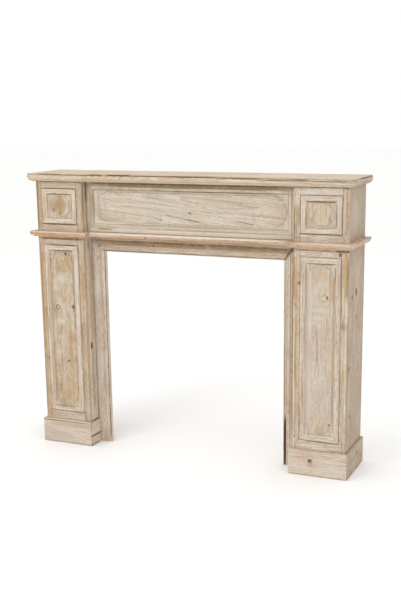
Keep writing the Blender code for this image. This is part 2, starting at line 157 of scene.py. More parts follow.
@dataclass(frozen=True)
class Knot:
    """A knot that shows on a board's face.

    The place is its middle in the object's frame, and the radii are its half width across X, Y
    and Z. Core and ring tell how dark its middle and the bark round it are, and the halo is how
    far the tan stain round it reaches, in radii.
    """

    place: Place
    radii: Place
    core: float = 0.75
    ring: float = 0.75
    halo: float = 2.2


@dataclass(frozen=True)
class Stain:
    """A soft-edged patch or line where the limewash is thin, dirty or fresh, or where shadow is painted on, in
    millimetres.

    The lean turns it about Y, in degrees; a level line with a positive lean falls to the right.
    """

    place: Place
    reach: Place
    colour: str
    strength: float = 0.6
    lean: float = 0.0

    @property
    def drawn_out(self) -> bool:
        """True for a line or a strip, which keeps its width up to its ends."""
        _, width, length = sorted(self.reach)
        return length > 4 * width

    def touches(self, low: Vector, high: Vector) -> bool:
        """True if the patch reaches into a box given in metres."""
        return all(1000 * low[axis] < self.place[axis] + self.reach[axis]
                   and 1000 * high[axis] > self.place[axis] - self.reach[axis] for axis in range(3))


def knot(x: float, y: float, z: float, width: float, height: float, core: float = 0.75,
         ring: float = 0.75) -> Knot:
    """A knot on a face, from its place and size in millimetres.

    Args:
        x: Place to the viewer's right.
        y: Place towards the wall.
        z: Height.
        width: Half width along the face, level.
        height: Half height.
        core: How dark its middle is.
        ring: How dark the bark round it is.

    Returns:
        The knot.
    """
    return Knot((x / 1000, y / 1000, z / 1000), (width / 1000, width / 1000, height / 1000), core, ring)


def linear(hex_colour: str) -> tuple[float, float, float, float]:
    """Turns an sRGB hex colour into linear RGBA.

    Args:
        hex_colour: Six hex digits after a hash sign.

    Returns:
        The linear red, green, blue and an alpha of 1.
    """
    channels = [int(hex_colour[start:start + 2], 16) / 255 for start in (1, 3, 5)]
    curved = [c / 12.92 if c <= 0.04045 else ((c + 0.055) / 1.055) ** 2.4 for c in channels]
    return (*curved, 1.0)


def chance(name: str, count: int) -> list[float]:
    """Repeatable numbers from 0 to 1 that belong to a piece's name.

    Args:
        name: The piece's name.
        count: How many numbers are wanted.

    Returns:
        The numbers, the same in every run.
    """
    return [zlib.crc32(f"{name}/{index}".encode()) / 0xFFFFFFFF for index in range(count)]


def add_node(tree: Tree, kind: str, inputs: Optional[dict] = None, **settings) -> bpy.types.Node:
    """Adds a node with its settings, values and links.

    Args:
        tree: The material's node tree.
        kind: The node's type.
        inputs: Values or output sockets by the input's name or number.
        **settings: The node's own properties.

    Returns:
        The new node.
    """
    node = tree.nodes.new(kind)
    for name, value in settings.items():
        setattr(node, name, value)
    for name, value in (inputs or {}).items():
        if isinstance(value, Socket):
            tree.links.new(value, node.inputs[name])
        else:
            node.inputs[name].default_value = value
    return node


@dataclass(frozen=True)
class Recipe:
    """A material and its nodes, with one short method for each kind of step."""

    material: bpy.types.Material

    @classmethod
    def start(cls, name: str) -> "Recipe":
        """Opens a new, empty material.

        Args:
            name: The material's name.

        Returns:
            The material's recipe.
        """
        material = bpy.data.materials.new(name)
        material.use_nodes = True
        material.node_tree.nodes.clear()
        return cls(material)

    @property
    def tree(self) -> Tree:
        """The material's node tree."""
        return self.material.node_tree

    def maths(self, operation: str, *values: Value, clamp: bool = False) -> Socket:
        """Works out one number from up to three."""
        return add_node(self.tree, "ShaderNodeMath", dict(enumerate(values)), operation=operation,
                        use_clamp=clamp).outputs[0]

    def vector(self, operation: str, *values: Value) -> Socket:
        """Works out one vector from up to three."""
        return add_node(self.tree, "ShaderNodeVectorMath", dict(enumerate(values)), operation=operation).outputs[0]

    def scaled(self, vector: Socket, amount: Socket) -> Socket:
        """A vector times a number."""
        return add_node(self.tree, "ShaderNodeVectorMath", {0: vector, "Scale": amount}, operation="SCALE").outputs[0]

    def length(self, vector: Socket) -> Socket:
        """A vector's length."""
        return add_node(self.tree, "ShaderNodeVectorMath", {0: vector}, operation="LENGTH").outputs["Value"]

    def mapping(self, vector: Socket, turn: Euler, offset: Sequence[float],
                scale: Sequence[float] = (1.0, 1.0, 1.0), kind: str = "POINT") -> Socket:
        """Coordinates turned, moved and scaled.

        Args:
            vector: The coordinates.
            turn: Their rotation.
            offset: How far they are moved.
            scale: How far they are stretched.
            kind: POINT, or TEXTURE for the reverse order.

        Returns:
            The new coordinates.
        """
        return add_node(self.tree, "ShaderNodeMapping",
                        {"Vector": vector, "Rotation": turn, "Location": offset, "Scale": scale},
                        vector_type=kind).outputs[0]

    def noise(self, vector: Socket, scale: float = 1.0, detail: float = 2.0,
              roughness: float = 0.5) -> bpy.types.Node:
        """Cloudy noise, with one value and a colour of three more."""
        return add_node(self.tree, "ShaderNodeTexNoise",
                        {"Vector": vector, "Scale": scale, "Detail": detail, "Roughness": roughness})

    def ramp(self, value: Socket, start: float, end: float, low: float = 0.0, high: float = 1.0,
             soft: bool = False) -> Socket:
        """Turns a stretch of values into another; soft eases both ends.

        Args:
            value: The value to look at.
            start: Where the stretch starts.
            end: Where it ends.
            low: What the start turns into.
            high: What the end turns into.
            soft: Whether both ends are eased.

        Returns:
            The new value.
        """
        return add_node(self.tree, "ShaderNodeMapRange",
                        {"Value": value, "From Min": start, "From Max": end, "To Min": low, "To Max": high},
                        interpolation_type="SMOOTHSTEP" if soft else "LINEAR").outputs[0]

    def mix(self, factor: Socket, first: Colour, second: Colour) -> Socket:
        """Blends two colours, each a hex colour or a socket.

        Args:
            factor: How much of the second colour there is.
            first: The colour at 0.
            second: The colour at 1.

        Returns:
            The blend.
        """
        first, second = (linear(colour) if isinstance(colour, str) else colour for colour in (first, second))
        return add_node(self.tree, "ShaderNodeMix", {MIX_FACTOR: factor, MIX_A: first, MIX_B: second},
                        data_type="RGBA").outputs[MIX_RESULT]

    def mark(self, name: str) -> Socket:
        """A value stored on the mesh."""
        return add_node(self.tree, "ShaderNodeAttribute", attribute_name=name).outputs["Fac"]

    def surface(self, inputs: dict) -> None:
        """Ends the recipe in one shader."""
        shader = add_node(self.tree, "ShaderNodeBsdfPrincipled", inputs)
        add_node(self.tree, "ShaderNodeOutputMaterial", {"Surface": shader.outputs[0]})


@dataclass(frozen=True)
class LimedPine:
    """Pine, wire-brushed along the grain and limewashed, then rubbed back by hand.

    The wash is chalky and matt, lies thick in patches and thin in streaks along the fibres, and
    lets the tan latewood through. Rubbed arrises go back to orange-brown bare wood, and quirks
    keep brown grime.
    """

    title: str = "limewashed_pine"
    lime: str = "#DED5C5"
    tint: str = "#D8C3B2"
    ash: str = "#C8C2B6"
    wood: str = "#B5997C"
    late: str = "#8F7054"
    worn: str = "#A37A50"
    grime: str = "#553B22"
    knot_core: str = "#5A3A22"
    knot_rim: str = "#37230F"
    raw: str = "#C0A37E"
    cover: float = 0.82
    mottle: float = 0.55
    streaks: float = 0.95
    wear: float = 0.5
    quirk: float = 0.75
    ring_mm: float = 2.6
    streak_length_mm: float = 110.0
    streak_width_mm: float = 2.2
    pore_width_mm: float = 1.6
    pores: float = 0.6
    patch_mm: Point = (120.0, 40.0)
    wander_mm: float = 6.0
    relief_mm: float = 0.35
    lean_deg: float = 0.0

    def dress(self, piece: Piece, run: Run, knots: Sequence[Knot] = (), stains: Sequence[Stain] = ()) -> None:
        """Gives a piece its own board of this wood.

        Args:
            piece: The finished piece, its place in its mesh.
            run: The direction of the fibres.
            knots: Knots on this board.
            stains: Patches on this board, painted shadow lines among them, painted in order.
        """
        low, high = (Vector(piece.bound_box[corner]) for corner in (LOWEST_CORNER, HIGHEST_CORNER))
        nodes = Recipe.start(f"{self.title}_{piece.name}")
        place = add_node(nodes.tree, "ShaderNodeTexCoord").outputs["Object"]
        luck = chance(piece.name, 6)
        seed = BOARD_SPREAD * Vector(luck[:3])
        turn = Euler((run.value[0], run.value[1] + math.radians(self.lean_deg), run.value[2]))
        turned = nodes.mapping(place, turn, seed)
        if LEVEL_ATTRIBUTE in piece.data.attributes:
            level = nodes.mapping(place, Euler(), seed)
            turned = add_node(nodes.tree, "ShaderNodeMix",
                              {MIX_FACTOR: nodes.mark(LEVEL_ATTRIBUTE), VECTOR_A: turned, VECTOR_B: level},
                              data_type="VECTOR").outputs[VECTOR_RESULT]
        grain = self._wandering(nodes, turned)
        reaches = []
        for eye in knots:
            middle = turn.to_matrix() @ Vector(eye.place) + seed
            reach, grain = self._bend_round_knot(nodes, place, grain, eye, middle)
            reaches.append(reach)
        latewood = self._rings(nodes, grain, turn.to_matrix() @ self._pith(low, high, run, luck) + seed)
        streak = self._streaks(nodes, grain)
        patch = self._patches(nodes, grain)
        colour = self._wash(nodes, grain, latewood, streak, patch)
        if stains:
            gaps = nodes.ramp(nodes.noise(turned, GAP_RATE).outputs["Fac"], 0.30, 0.52, low=0.7)
        for stain_or_shadow in stains:
            colour = self._stain(nodes, place, colour, stain_or_shadow, streak, gaps)
        colour = self._bare_side(nodes, colour, latewood, streak)
        colour = self._rub(nodes, turned, colour, streak)
        for eye, reach in zip(knots, reaches):
            colour = self._knot(nodes, colour, eye, reach)
        self._surface(nodes, colour, latewood, streak, patch)
        piece.data.materials.append(nodes.material)

    @staticmethod
    def _pith(low: Vector, high: Vector, run: Run, luck: Sequence[float]) -> Vector:
        """Where the middle of the tree ran, behind the board's broad face.

        Args:
            low: The board's lowest corner.
            high: Its highest corner.
            run: The direction of its fibres.
            luck: The board's own chances.

        Returns:
            A point on the tree's middle line.
        """
        size = high - low
        others = [axis for axis in range(3) if axis != run.axis]
        thin, broad = sorted(others, key=lambda axis: size[axis])
        pith = (low + high) / 2
        pith[thin] += 0.045 + 0.05 * luck[3]
        pith[broad] += 0.5 * size[broad] * (luck[4] - 0.5)
        pith[run.axis] += 0.6 * size[run.axis] * (luck[5] - 0.5)
        return pith

    def _wandering(self, nodes: Recipe, turned: Socket) -> Socket:
        """Grain coordinates whose fibres wander a few millimetres from straight.

        Args:
            nodes: The material being written.
            turned: Coordinates along the board.

        Returns:
            Coordinates that follow the fibres.
        """
        reach = self.wander_mm / 1000
        wobble = nodes.noise(nodes.vector("MULTIPLY", turned, WANDER_RATE)).outputs["Color"]
        centred = nodes.vector("SUBTRACT", wobble, (0.5, 0.5, 0.5))
        return nodes.vector("MULTIPLY_ADD", centred, (0.0, reach, reach), turned)

    @staticmethod
    def _bend_round_knot(nodes: Recipe, place: Socket, grain: Socket, eye: Knot,
                         middle: Vector) -> tuple[Socket, Socket]:
        """Bends the fibres round a knot; returns the distance from it in radii, and the bent grain.

        Args:
            nodes: The material being written.
            place: Coordinates on the piece.
            grain: Coordinates that follow the fibres.
            eye: The knot.
            middle: Its place in the coordinates of the grain.

        Returns:
            The distance from the knot in its radii, and the bent coordinates.
        """
        scale = [1 / radius for radius in eye.radii]
        offset = [-where * size for where, size in zip(eye.place, scale)]
        reach = nodes.length(nodes.mapping(place, Euler(), offset, scale))
        near = nodes.ramp(reach, 0.6, 3.6, 0.72, 0.0, soft=True)
        across = nodes.vector("MULTIPLY", nodes.vector("SUBTRACT", grain, middle), (0.0, 1.0, 1.0))
        return reach, nodes.vector("SUBTRACT", grain, nodes.scaled(across, near))

    def _rings(self, nodes: Recipe, grain: Socket, pith: Vector) -> Socket:
        """Growth rings cut flat: wide arches in the middle of the board, tight lines at its edges.

        Args:
            nodes: The material being written.
            grain: Coordinates that follow the fibres.
            pith: A point on the tree's middle line.

        Returns:
            How deep each place lies in the year's late wood.
        """
        away = nodes.vector("SUBTRACT", grain, pith)
        radius = nodes.length(nodes.vector("MULTIPLY", away, RING_TAPER))
        swell = nodes.noise(nodes.vector("MULTIPLY", grain, SWELL_RATE), detail=3.0).outputs["Fac"]
        years = nodes.maths("MULTIPLY", nodes.maths("MULTIPLY_ADD", swell, RING_SWELL, radius), 1000 / self.ring_mm)
        return nodes.maths("POWER", nodes.maths("FRACT", years), 2.6)

    def _streaks(self, nodes: Recipe, grain: Socket) -> Socket:
        """Brushed fibre bundles, long and narrow.

        Args:
            nodes: The material being written.
            grain: Coordinates that follow the fibres.

        Returns:
            How far each fibre bundle stands up.
        """
        along, across = 1000 / self.streak_length_mm, 1000 / self.streak_width_mm
        fibres = nodes.noise(nodes.vector("MULTIPLY", grain, (along, across, across)), detail=5.0, roughness=0.62)
        return nodes.ramp(fibres.outputs["Fac"], 0.36, 0.62)

    def _patches(self, nodes: Recipe, grain: Socket) -> Socket:
        """Where the wash lies thick or was rubbed thin, in patches a hand wide.

        Args:
            nodes: The material being written.
            grain: Coordinates that follow the fibres.

        Returns:
            How thick the wash lies.
        """
        along, across = (1000 / size for size in self.patch_mm)
        clouds = nodes.noise(nodes.vector("MULTIPLY", grain, (along, across, across)), detail=3.0, roughness=0.55)
        return nodes.ramp(clouds.outputs["Fac"], 0.25, 0.75)

    def _wash(self, nodes: Recipe, grain: Socket, latewood: Socket, streak: Socket, patch: Socket) -> Socket:
        """Colour of the wood under a wash whose thickness follows patches, fibres and rings.

        Args:
            nodes: The material being written.
            grain: Coordinates that follow the fibres.
            latewood: How deep each place lies in the year's late wood.
            streak: How far each fibre bundle stands up.
            patch: How thick the wash lies.

        Returns:
            The new colour.
        """
        timber = nodes.mix(latewood, self.wood, self.late)
        hues = nodes.noise(grain, HUE_RATE, detail=3.0)
        creamy = nodes.mix(nodes.ramp(hues.outputs["Fac"], 0.35, 0.68), self.lime, self.tint)
        blue = add_node(nodes.tree, "ShaderNodeSeparateColor", {"Color": hues.outputs["Color"]}).outputs[2]
        chalk = nodes.mix(nodes.ramp(blue, 0.46, 0.72, high=0.75), creamy, self.ash)
        thick = nodes.maths("MULTIPLY_ADD", patch, self.mottle, self.cover - self.mottle / 2 - self.streaks / 2)
        brushed = nodes.maths("MULTIPLY_ADD", streak, self.streaks, thick)
        washed = nodes.mix(nodes.maths("MULTIPLY_ADD", latewood, -0.28, brushed, clamp=True), timber, chalk)
        across = 1000 / self.pore_width_mm
        pores = nodes.noise(nodes.vector("MULTIPLY", grain, (PORE_RATE, across, across))).outputs["Fac"]
        flecked = nodes.mix(nodes.ramp(pores, 0.45, 0.30, high=0.45), washed, self.lime)
        return nodes.mix(nodes.ramp(pores, 0.54, 0.69, high=self.pores), flecked, self.late)

    @staticmethod
    def _stain(nodes: Recipe, place: Socket, colour: Socket, stain_or_shadow: Stain, streak: Socket, gaps: Socket) -> Socket:
        """Lays one stain or line of painted shadow over the colour, its edge broken up by the fibres and its length
        by gaps.

        Args:
            nodes: The material being written.
            place: Coordinates on the piece.
            colour: The colour laid so far.
            stain_or_shadow: The stain or painted shadow line.
            streak: How far each fibre bundle stands up.
            gaps: Where it thins out along its length.

        Returns:
            The new colour.
        """
        lean = Euler((0.0, math.radians(stain_or_shadow.lean), 0.0))
        apart = nodes.mapping(place, lean, Vector(stain_or_shadow.place) / 1000, Vector(stain_or_shadow.reach) / 1000, "TEXTURE")
        full, gone = 0.35, 1.4
        if stain_or_shadow.drawn_out:
            apart = nodes.vector("MULTIPLY", apart, apart)
            full, gone = 0.6, 1.5
        ragged = nodes.maths("MULTIPLY_ADD", streak, 0.4, nodes.length(apart))
        laid = nodes.ramp(ragged, full, gone, stain_or_shadow.strength, 0.0, soft=True)
        return nodes.mix(nodes.maths("MULTIPLY", laid, gaps), colour, stain_or_shadow.colour)

    def _bare_side(self, nodes: Recipe, colour: Socket, latewood: Socket, streak: Socket) -> Socket:
        """Leaves the hidden faces as planed pine without wash.

        Args:
            nodes: The material being written.
            colour: The colour laid so far.
            latewood: How deep each place lies in the year's late wood.
            streak: How far each fibre bundle stands up.

        Returns:
            The new colour.
        """
        ringed = nodes.maths("MULTIPLY", latewood, 0.6)
        fibres = nodes.maths("MULTIPLY_ADD", streak, 0.25, ringed, clamp=True)
        return nodes.mix(nodes.mark(BARE_ATTRIBUTE), colour, nodes.mix(fibres, self.raw, self.late))

    def _rub(self, nodes: Recipe, turned: Socket, colour: Socket, streak: Socket) -> Socket:
        """Rubs arrises back to bare wood and leaves grime in the quirks.

        Args:
            nodes: The material being written.
            turned: Coordinates along the board.
            colour: The colour laid so far.
            streak: How far each fibre bundle stands up.

        Returns:
            The new colour.
        """
        arris = nodes.mark(ARRIS_ATTRIBUTE)
        rubbing = nodes.noise(turned, RUB_RATE, detail=4.0, roughness=0.6).outputs["Fac"]
        edge = nodes.maths("ADD", arris, nodes.maths("MULTIPLY_ADD", rubbing, 1.5, -0.75))
        rubbed = nodes.mix(nodes.ramp(edge, 0.45, 1.0, high=self.wear), colour, self.worn)
        sunk = nodes.ramp(arris, -0.15, -0.9, high=self.quirk)
        held = nodes.maths("MULTIPLY", nodes.maths("MULTIPLY", sunk, streak), 0.6)
        return nodes.mix(nodes.maths("MULTIPLY_ADD", sunk, 0.5, held, clamp=True), rubbed, self.grime)

    def _knot(self, nodes: Recipe, colour: Socket, eye: Knot, reach: Socket) -> Socket:
        """Paints a knot: tan halo, brown core, and the near-black ring of bark round it.

        Args:
            nodes: The material being written.
            colour: The colour laid so far.
            eye: The knot.
            reach: Distance from it in its radii.

        Returns:
            The new colour.
        """
        halo = nodes.ramp(reach, 0.9, eye.halo, min(0.45, 0.1 + eye.core), 0.0, soft=True)
        core = nodes.ramp(reach, 0.65, 0.95, eye.core, 0.0)
        from_ring = nodes.maths("ABSOLUTE", nodes.maths("SUBTRACT", reach, 0.92))
        ring = nodes.ramp(from_ring, 0.06, 0.26, eye.ring, 0.0)
        for amount, paint in ((halo, self.wood), (core, self.knot_core), (ring, self.knot_rim)):
            colour = nodes.mix(amount, colour, paint)
        return colour

    def _surface(self, nodes: Recipe, colour: Socket, latewood: Socket, streak: Socket, patch: Socket) -> None:
        """Joins colour, roughness and the brushed relief into the shader.

        Args:
            nodes: The material being written.
            colour: The finished colour.
            latewood: How deep each place lies in the year's late wood.
            streak: How far each fibre bundle stands up.
            patch: How thick the wash lies.
        """
        ridges = nodes.maths("MULTIPLY_ADD", latewood, 0.55, streak)
        bump = add_node(nodes.tree, "ShaderNodeBump",
                        {"Height": ridges, "Strength": 0.55, "Distance": self.relief_mm / 1000})
        nodes.surface({"Base Color": colour, "Roughness": nodes.ramp(patch, 0.0, 1.0, 0.70, 0.88),
                       "Normal": bump.outputs[0], "Specular IOR Level": 0.35, "IOR": 1.5})


LIMED = LimedPine()
# Shelf: the same wash, yellowed by dust and handling.
LIMED_SHELF = LimedPine(title="yellowed_shelf_limewashed_pine", lime="#DACFBA", tint="#D3BDA3", ash="#C3BCAA")
# Stiles: a thinner wash that lets more tan timber through.
LIMED_STILE = LimedPine(title="rubbed_limewashed_pine", lime="#D4C9B7", tint="#CCB59F", ash="#BEB5A6",
                        wood="#AD8E6D", late="#856548", cover=0.76, mottle=0.45, streak_length_mm=160.0)
# Jambs and upright mouldings: fine straight lines under an even wash.
LIMED_FINE = LimedPine(title="finely_brushed_limewashed_pine", lime="#DDD4C5", tint="#D3BFAC", ash="#C5BFB3",
                       wood="#B09375", late="#836548", cover=0.84, mottle=0.35, streak_length_mm=180.0,
                       streak_width_mm=1.8)
# Left leg: the wash has yellowed and the timber under it shows browner.
LIMED_TAN = LimedPine(title="yellowed_limewashed_pine", lime="#CFC3AF", tint="#C7AD92", ash="#B7AC9B",
                      wood="#A9865F", late="#816040", cover=0.74, mottle=0.5, streak_length_mm=150.0)
# Side boards: the wash was rubbed thinner and is greyer.
LIMED_THIN = LimedPine(title="thinly_limewashed_pine", lime="#D4C9B8", tint="#CAB49F", ash="#B9B1A3", cover=0.78)
# Outer sides: the thin wash darkened and turned yellow-grey, which paints the shade they stand in.
SHADED_SIDE_LIMED = LimedPine(title="worn_limewashed_pine", lime="#C4B9A8", tint="#BAA48F", ash="#ABA395", wood="#A98D71",
                       late="#83674D", cover=0.77)
# The frieze: thick chalk that drifts from cream to pink.
LIMED_PANEL = LimedPine(title="thickly_limewashed_pine", lime="#D8D1C3", tint="#D3C1B3", ash="#C7C1B6",
                        wood="#BAA189", late="#967A5F", cover=0.87, mottle=0.4, streaks=0.8, quirk=0.16,
                        wear=0.3, pores=0.65)
# The frieze panel: smooth even chalk, long thin lines that fall a little to the right.
FRIEZE_PANEL = LimedPine(title="smooth_limewashed_pine", lime="#D9D2C3", tint="#D4C5B4", ash="#CCC6B9",
                         wood="#B9A083", late="#8A6F53", cover=0.83, mottle=0.25, streaks=0.65, quirk=0.04,
                         wear=0.2, pores=0.5, ring_mm=5.5, streak_length_mm=220.0, lean_deg=-5.0)
# The right pilaster's panel: pinkish chalk rubbed nearly even, little grime round the soft field.
PINK_PANEL = LimedPine(title="pinkish_limewashed_pine", lime="#CFC5B5", tint="#CAB6A9", ash="#BDB6AB",
                       wood="#B2987E", late="#917559", cover=0.86, mottle=0.4, streaks=0.8, quirk=0.05,
                       wear=0.3, pores=0.65, ring_mm=4.5, streak_length_mm=70.0, wander_mm=16.0)
# The left leg's panels, under the same chalk gone tan.
TAN_PANEL = LimedPine(title="tan_limewashed_pine", lime="#CDC2AF", tint="#C5AE96", ash="#B6AE9F",
                      wood="#AC8B64", late="#886848", cover=0.80, mottle=0.7, streaks=0.8, quirk=0.07, wear=0.3,
                      ring_mm=7.0, streak_length_mm=55.0, patch_mm=(55.0, 26.0), wander_mm=30.0)
# Block panels: their low disc has no grime round it.
DISC_PANEL = LimedPine(title="soft_limewashed_pine", lime="#D2C8B6", tint="#CBB5A2", ash="#BEB6A9",
                       wood="#B39571", late="#917252", cover=0.83, mottle=0.5, quirk=0.0, wear=0.1)
# Plinth boards: calm chalk, brushed across the grain.
LIMED_PLINTH = LimedPine(title="calm_limewashed_pine", lime="#D9D0C2", tint="#D2BEAE", ash="#C8C2B8",
                         wood="#B79C80", late="#93765B", cover=0.86, mottle=0.5, streaks=0.5, pores=0.45)
# Necking strips were handled and stained: pinkish chalk with dark pores over amber timber.
AMBER = LimedPine(title="handled_amber_pine", lime="#DECBB6", tint="#D3B59A", ash="#C0AD99", wood="#AC8660",
                  late="#7F5D3E", worn="#A87C52", cover=0.74, streaks=1.1, wear=0.5, pores=0.8)
# Hidden boards: sawn and planed pine, never washed.
BARE = LimedPine(title="bare_planed_pine", lime="#C6AC88", tint="#BC9A70", ash="#BFA988", cover=0.45, wear=0.2)


def start_clean() -> None:
    """Leaves object mode on and nothing selected."""
    if bpy.context.object and bpy.context.object.mode != "OBJECT":
        bpy.ops.object.mode_set(mode="OBJECT")
    bpy.ops.object.select_all(action="DESELECT")


def work_on(piece: Piece) -> None:
    """Selects one piece and makes it the active one.

    Args:
        piece: The piece.
    """
    start_clean()
    piece.select_set(True)
    bpy.context.view_layer.objects.active = piece


def named(piece: Piece, name: str) -> Piece:
    """Gives a piece and its mesh the same name.

    Args:
        piece: The piece.
        name: Its new name.

    Returns:
        The same piece.
    """
    piece.name = name
    piece.data.name = name
    return piece


def start_block(name: str, low: Vector, high: Vector) -> Piece:
    """Starts a piece as a block between two corners, left in edit mode.

    Args:
        name: The piece's name.
        low: The block's lowest corner.
        high: Its highest corner.

    Returns:
        The block.
    """
    start_clean()
    bpy.ops.mesh.primitive_cube_add(size=1.0, location=(low + high) / 2, scale=high - low)
    piece = named(bpy.context.object, name)
    bpy.ops.object.transform_apply(location=True, rotation=True, scale=True)
    bpy.ops.object.mode_set(mode="EDIT")
    return piece


def start_outline(name: str, places: Sequence[Vector]) -> Piece:
    """Starts a piece as one face with its corners at the places given, left in edit mode.

    Args:
        name: The piece's name.
        places: The face's corners, in order.

    Returns:
        The face.
    """
    start_clean()
    bpy.ops.mesh.primitive_circle_add(vertices=len(places), radius=SEED_RADIUS, fill_type="NGON")
    piece = named(bpy.context.object, name)
    for vert, place in zip(piece.data.vertices, places):
        vert.co = place
    bpy.ops.object.mode_set(mode="EDIT")
    return piece


def face_outwards() -> None:
    """Turns every face of the edited mesh outwards."""
    bpy.ops.mesh.select_all(action="SELECT")
    bpy.ops.mesh.normals_make_consistent(inside=False)


def pick(kind: str, wanted: Callable) -> int:
    """Selects, in edit mode, only the edges or faces that pass a test.

    Args:
        kind: EDGE or FACE.
        wanted: A test that takes the edge or face.

    Returns:
        How many were selected.
    """
    mesh = bpy.context.object.data
    bpy.ops.mesh.select_mode(type=kind)
    bpy.ops.mesh.select_all(action="DESELECT")
    bm = bmesh.from_edit_mesh(mesh)
    found = [item for item in (bm.edges if kind == "EDGE" else bm.faces) if wanted(item)]
    for item in found:
        item.select_set(True)
    bm.select_flush_mode()
    bmesh.update_edit_mesh(mesh)
    return len(found)


def cut_lengthwise(direction: Vector) -> None:
    """Divides the long edges that run in a direction, so that the arris beside them can waver.

    Args:
        direction: The unit vector along the board.
    """
    lengths = []

    def long_edge(edge: bmesh.types.BMEdge) -> bool:
        """Tests for a long edge in the direction, and keeps its length.

        Args:
            edge: The edge to test.

        Returns:
            Whether it is to be cut.
        """
        span = edge.verts[1].co - edge.verts[0].co
        if span.length > 2 * LENGTHWISE_STEP and abs(span.normalized().dot(direction)) > PARALLEL:
            lengths.append(edge.calc_length())
            return True
        return False

    if pick("EDGE", long_edge):
        bpy.ops.mesh.subdivide(number_cuts=max(1, round(max(lengths) / LENGTHWISE_STEP) - 1))


def store(piece: Piece, name: str, domain: str, values: Sequence[float]) -> None:
    """Stores one number for each point or face of a piece, for its material to read."""
    piece.data.attributes.new(name, "FLOAT", domain).data.foreach_set("value", values)


def mark_arrises(piece: Piece, along: Optional[Vector] = None) -> None:
    """Stores how sharply the surface turns at each vertex: above 0 at arrises, below 0 in quirks.

    Args:
        piece: The piece to measure.
        along: If given, only edges in this direction count, so that cut ends stay unworn.
    """
    bm = bmesh.new()
    bm.from_mesh(piece.data)
    values = [0.0] * len(bm.verts)
    for edge in bm.edges:
        if len(edge.link_faces) != 2:
            continue
        if along is not None:
            span = (edge.verts[1].co - edge.verts[0].co).normalized()
            if abs(span.dot(along)) < NEARLY_PARALLEL:
                continue
        worth = max(-1.0, min(1.0, edge.calc_face_angle_signed(0.0) / FULL_WEAR_TURN))
        for vert in edge.verts:
            if abs(worth) > abs(values[vert.index]):
                values[vert.index] = worth
    bm.free()
    store(piece, ARRIS_ATTRIBUTE, "POINT", values)


def mark_bare(piece: Piece, hidden: FaceTest) -> None:
    """Marks the faces that were never washed.

    Args:
        piece: The piece.
        hidden: A test that takes a face's middle and its normal.
    """
    store(piece, BARE_ATTRIBUTE, "FACE",
          [1.0 if hidden(face.center, face.normal) else 0.0 for face in piece.data.polygons])


def faces_wall(_middle: Vector, normal: Vector) -> bool:
    """True for a face that looks at the wall behind the surround."""
    return normal.y > SQUARE_ON


def wear_arrises(piece: Piece, depth: float) -> None:
    """Wears the arrises in by hand: a wavering, slightly dented edge.

    Args:
        piece: The piece, its arrises already marked.
        depth: How far the deepest dents go in.
    """
    group = piece.vertex_groups.new(name="arris")
    for index, mark in enumerate(piece.data.attributes[ARRIS_ATTRIBUTE].data):
        if mark.value > WORN_FROM:
            group.add([index], min(1.0, mark.value), "REPLACE")
    dents = bpy.data.textures.new("hand_dents", "CLOUDS")
    dents.noise_scale = DENT_SIZE
    dents.noise_depth = DENT_DEPTH
    dents.contrast = DENT_CONTRAST
    work_on(piece)
    modifier = piece.modifiers.new("hand_wear", "DISPLACE")
    modifier.texture = dents
    modifier.texture_coords = "LOCAL"
    modifier.vertex_group = group.name
    modifier.mid_level = DENT_LEVEL
    modifier.strength = depth
    bpy.ops.object.modifier_apply(modifier=modifier.name)
    bpy.data.textures.remove(dents)


def finish_mesh(piece: Piece) -> None:
    """Shades a piece smooth across its eased arrises and its curves."""
    work_on(piece)
    bpy.ops.object.shade_smooth_by_angle(angle=SMOOTH_ANGLE)


def saw_plank(name: str, low: Vector, high: Vector, run: Run, arris: float, wear: float) -> Piece:
    """A board with eased and worn arrises, sawn from a block.

    Args:
        name: The piece's name.
        low: Its lowest corner.
        high: Its highest corner.
        run: The direction of its fibres and of its length.
        arris: Width of the eased edge.
        wear: Depth of the dents along its edges.

    Returns:
        The board.
    """
    thinnest = min(high - low)
    piece = start_block(name, low, high)
    bpy.ops.mesh.select_all(action="SELECT")
    bpy.ops.mesh.bevel(offset=arris, segments=ARRIS_SEGMENTS, affect="EDGES")
    least = (thinnest - 3 * arris) ** 2
    pick("FACE", lambda face: max(map(abs, face.normal)) > PARALLEL and face.calc_area() > least)
    bpy.ops.mesh.inset(thickness=min(SUPPORT, 0.28 * thinnest), use_individual=True)
    cut_lengthwise(Vector([1.0 if axis == run.axis else 0.0 for axis in range(3)]))
    bpy.ops.object.mode_set(mode="OBJECT")
    mark_arrises(piece)
    wear_arrises(piece, wear)
    finish_mesh(piece)
    return piece


def eased(profile: Sequence[Point], radius: float) -> list[Point]:
    """Rounds the sharp corners of a section and adds a point beside each, to hold it tight.

    Args:
        profile: The section's corners, in order.
        radius: How far along each side the rounding starts, at most.

    Returns:
        The section's points, in order.
    """
    points: list[Point] = []
    count = len(profile)
    for index in range(count):
        before, here, after = (Vector(profile[(index + step) % count]) for step in (-1, 0, 1))
        back, ahead = before - here, after - here
        if back.length < 1e-7 or ahead.length < 1e-7:
            continue
        if math.pi - back.angle(ahead) < SHARP_TURN:
            points.append(tuple(here))
            continue
        near, far = (min(radius, 0.3 * side.length) for side in (back, ahead))
        start, end = here + back.normalized() * near, here + ahead.normalized() * far
        if back.length > 2.6 * SUPPORT:
            points.append(tuple(here + back.normalized() * SUPPORT))
        for share in (0.0, 1 / 3, 2 / 3, 1.0):
            bow = start * (1 - share) ** 2 + here * 2 * share * (1 - share) + end * share ** 2
            points.append(tuple(bow))
        if ahead.length > 2.6 * SUPPORT:
            points.append(tuple(here + ahead.normalized() * SUPPORT))
    return points


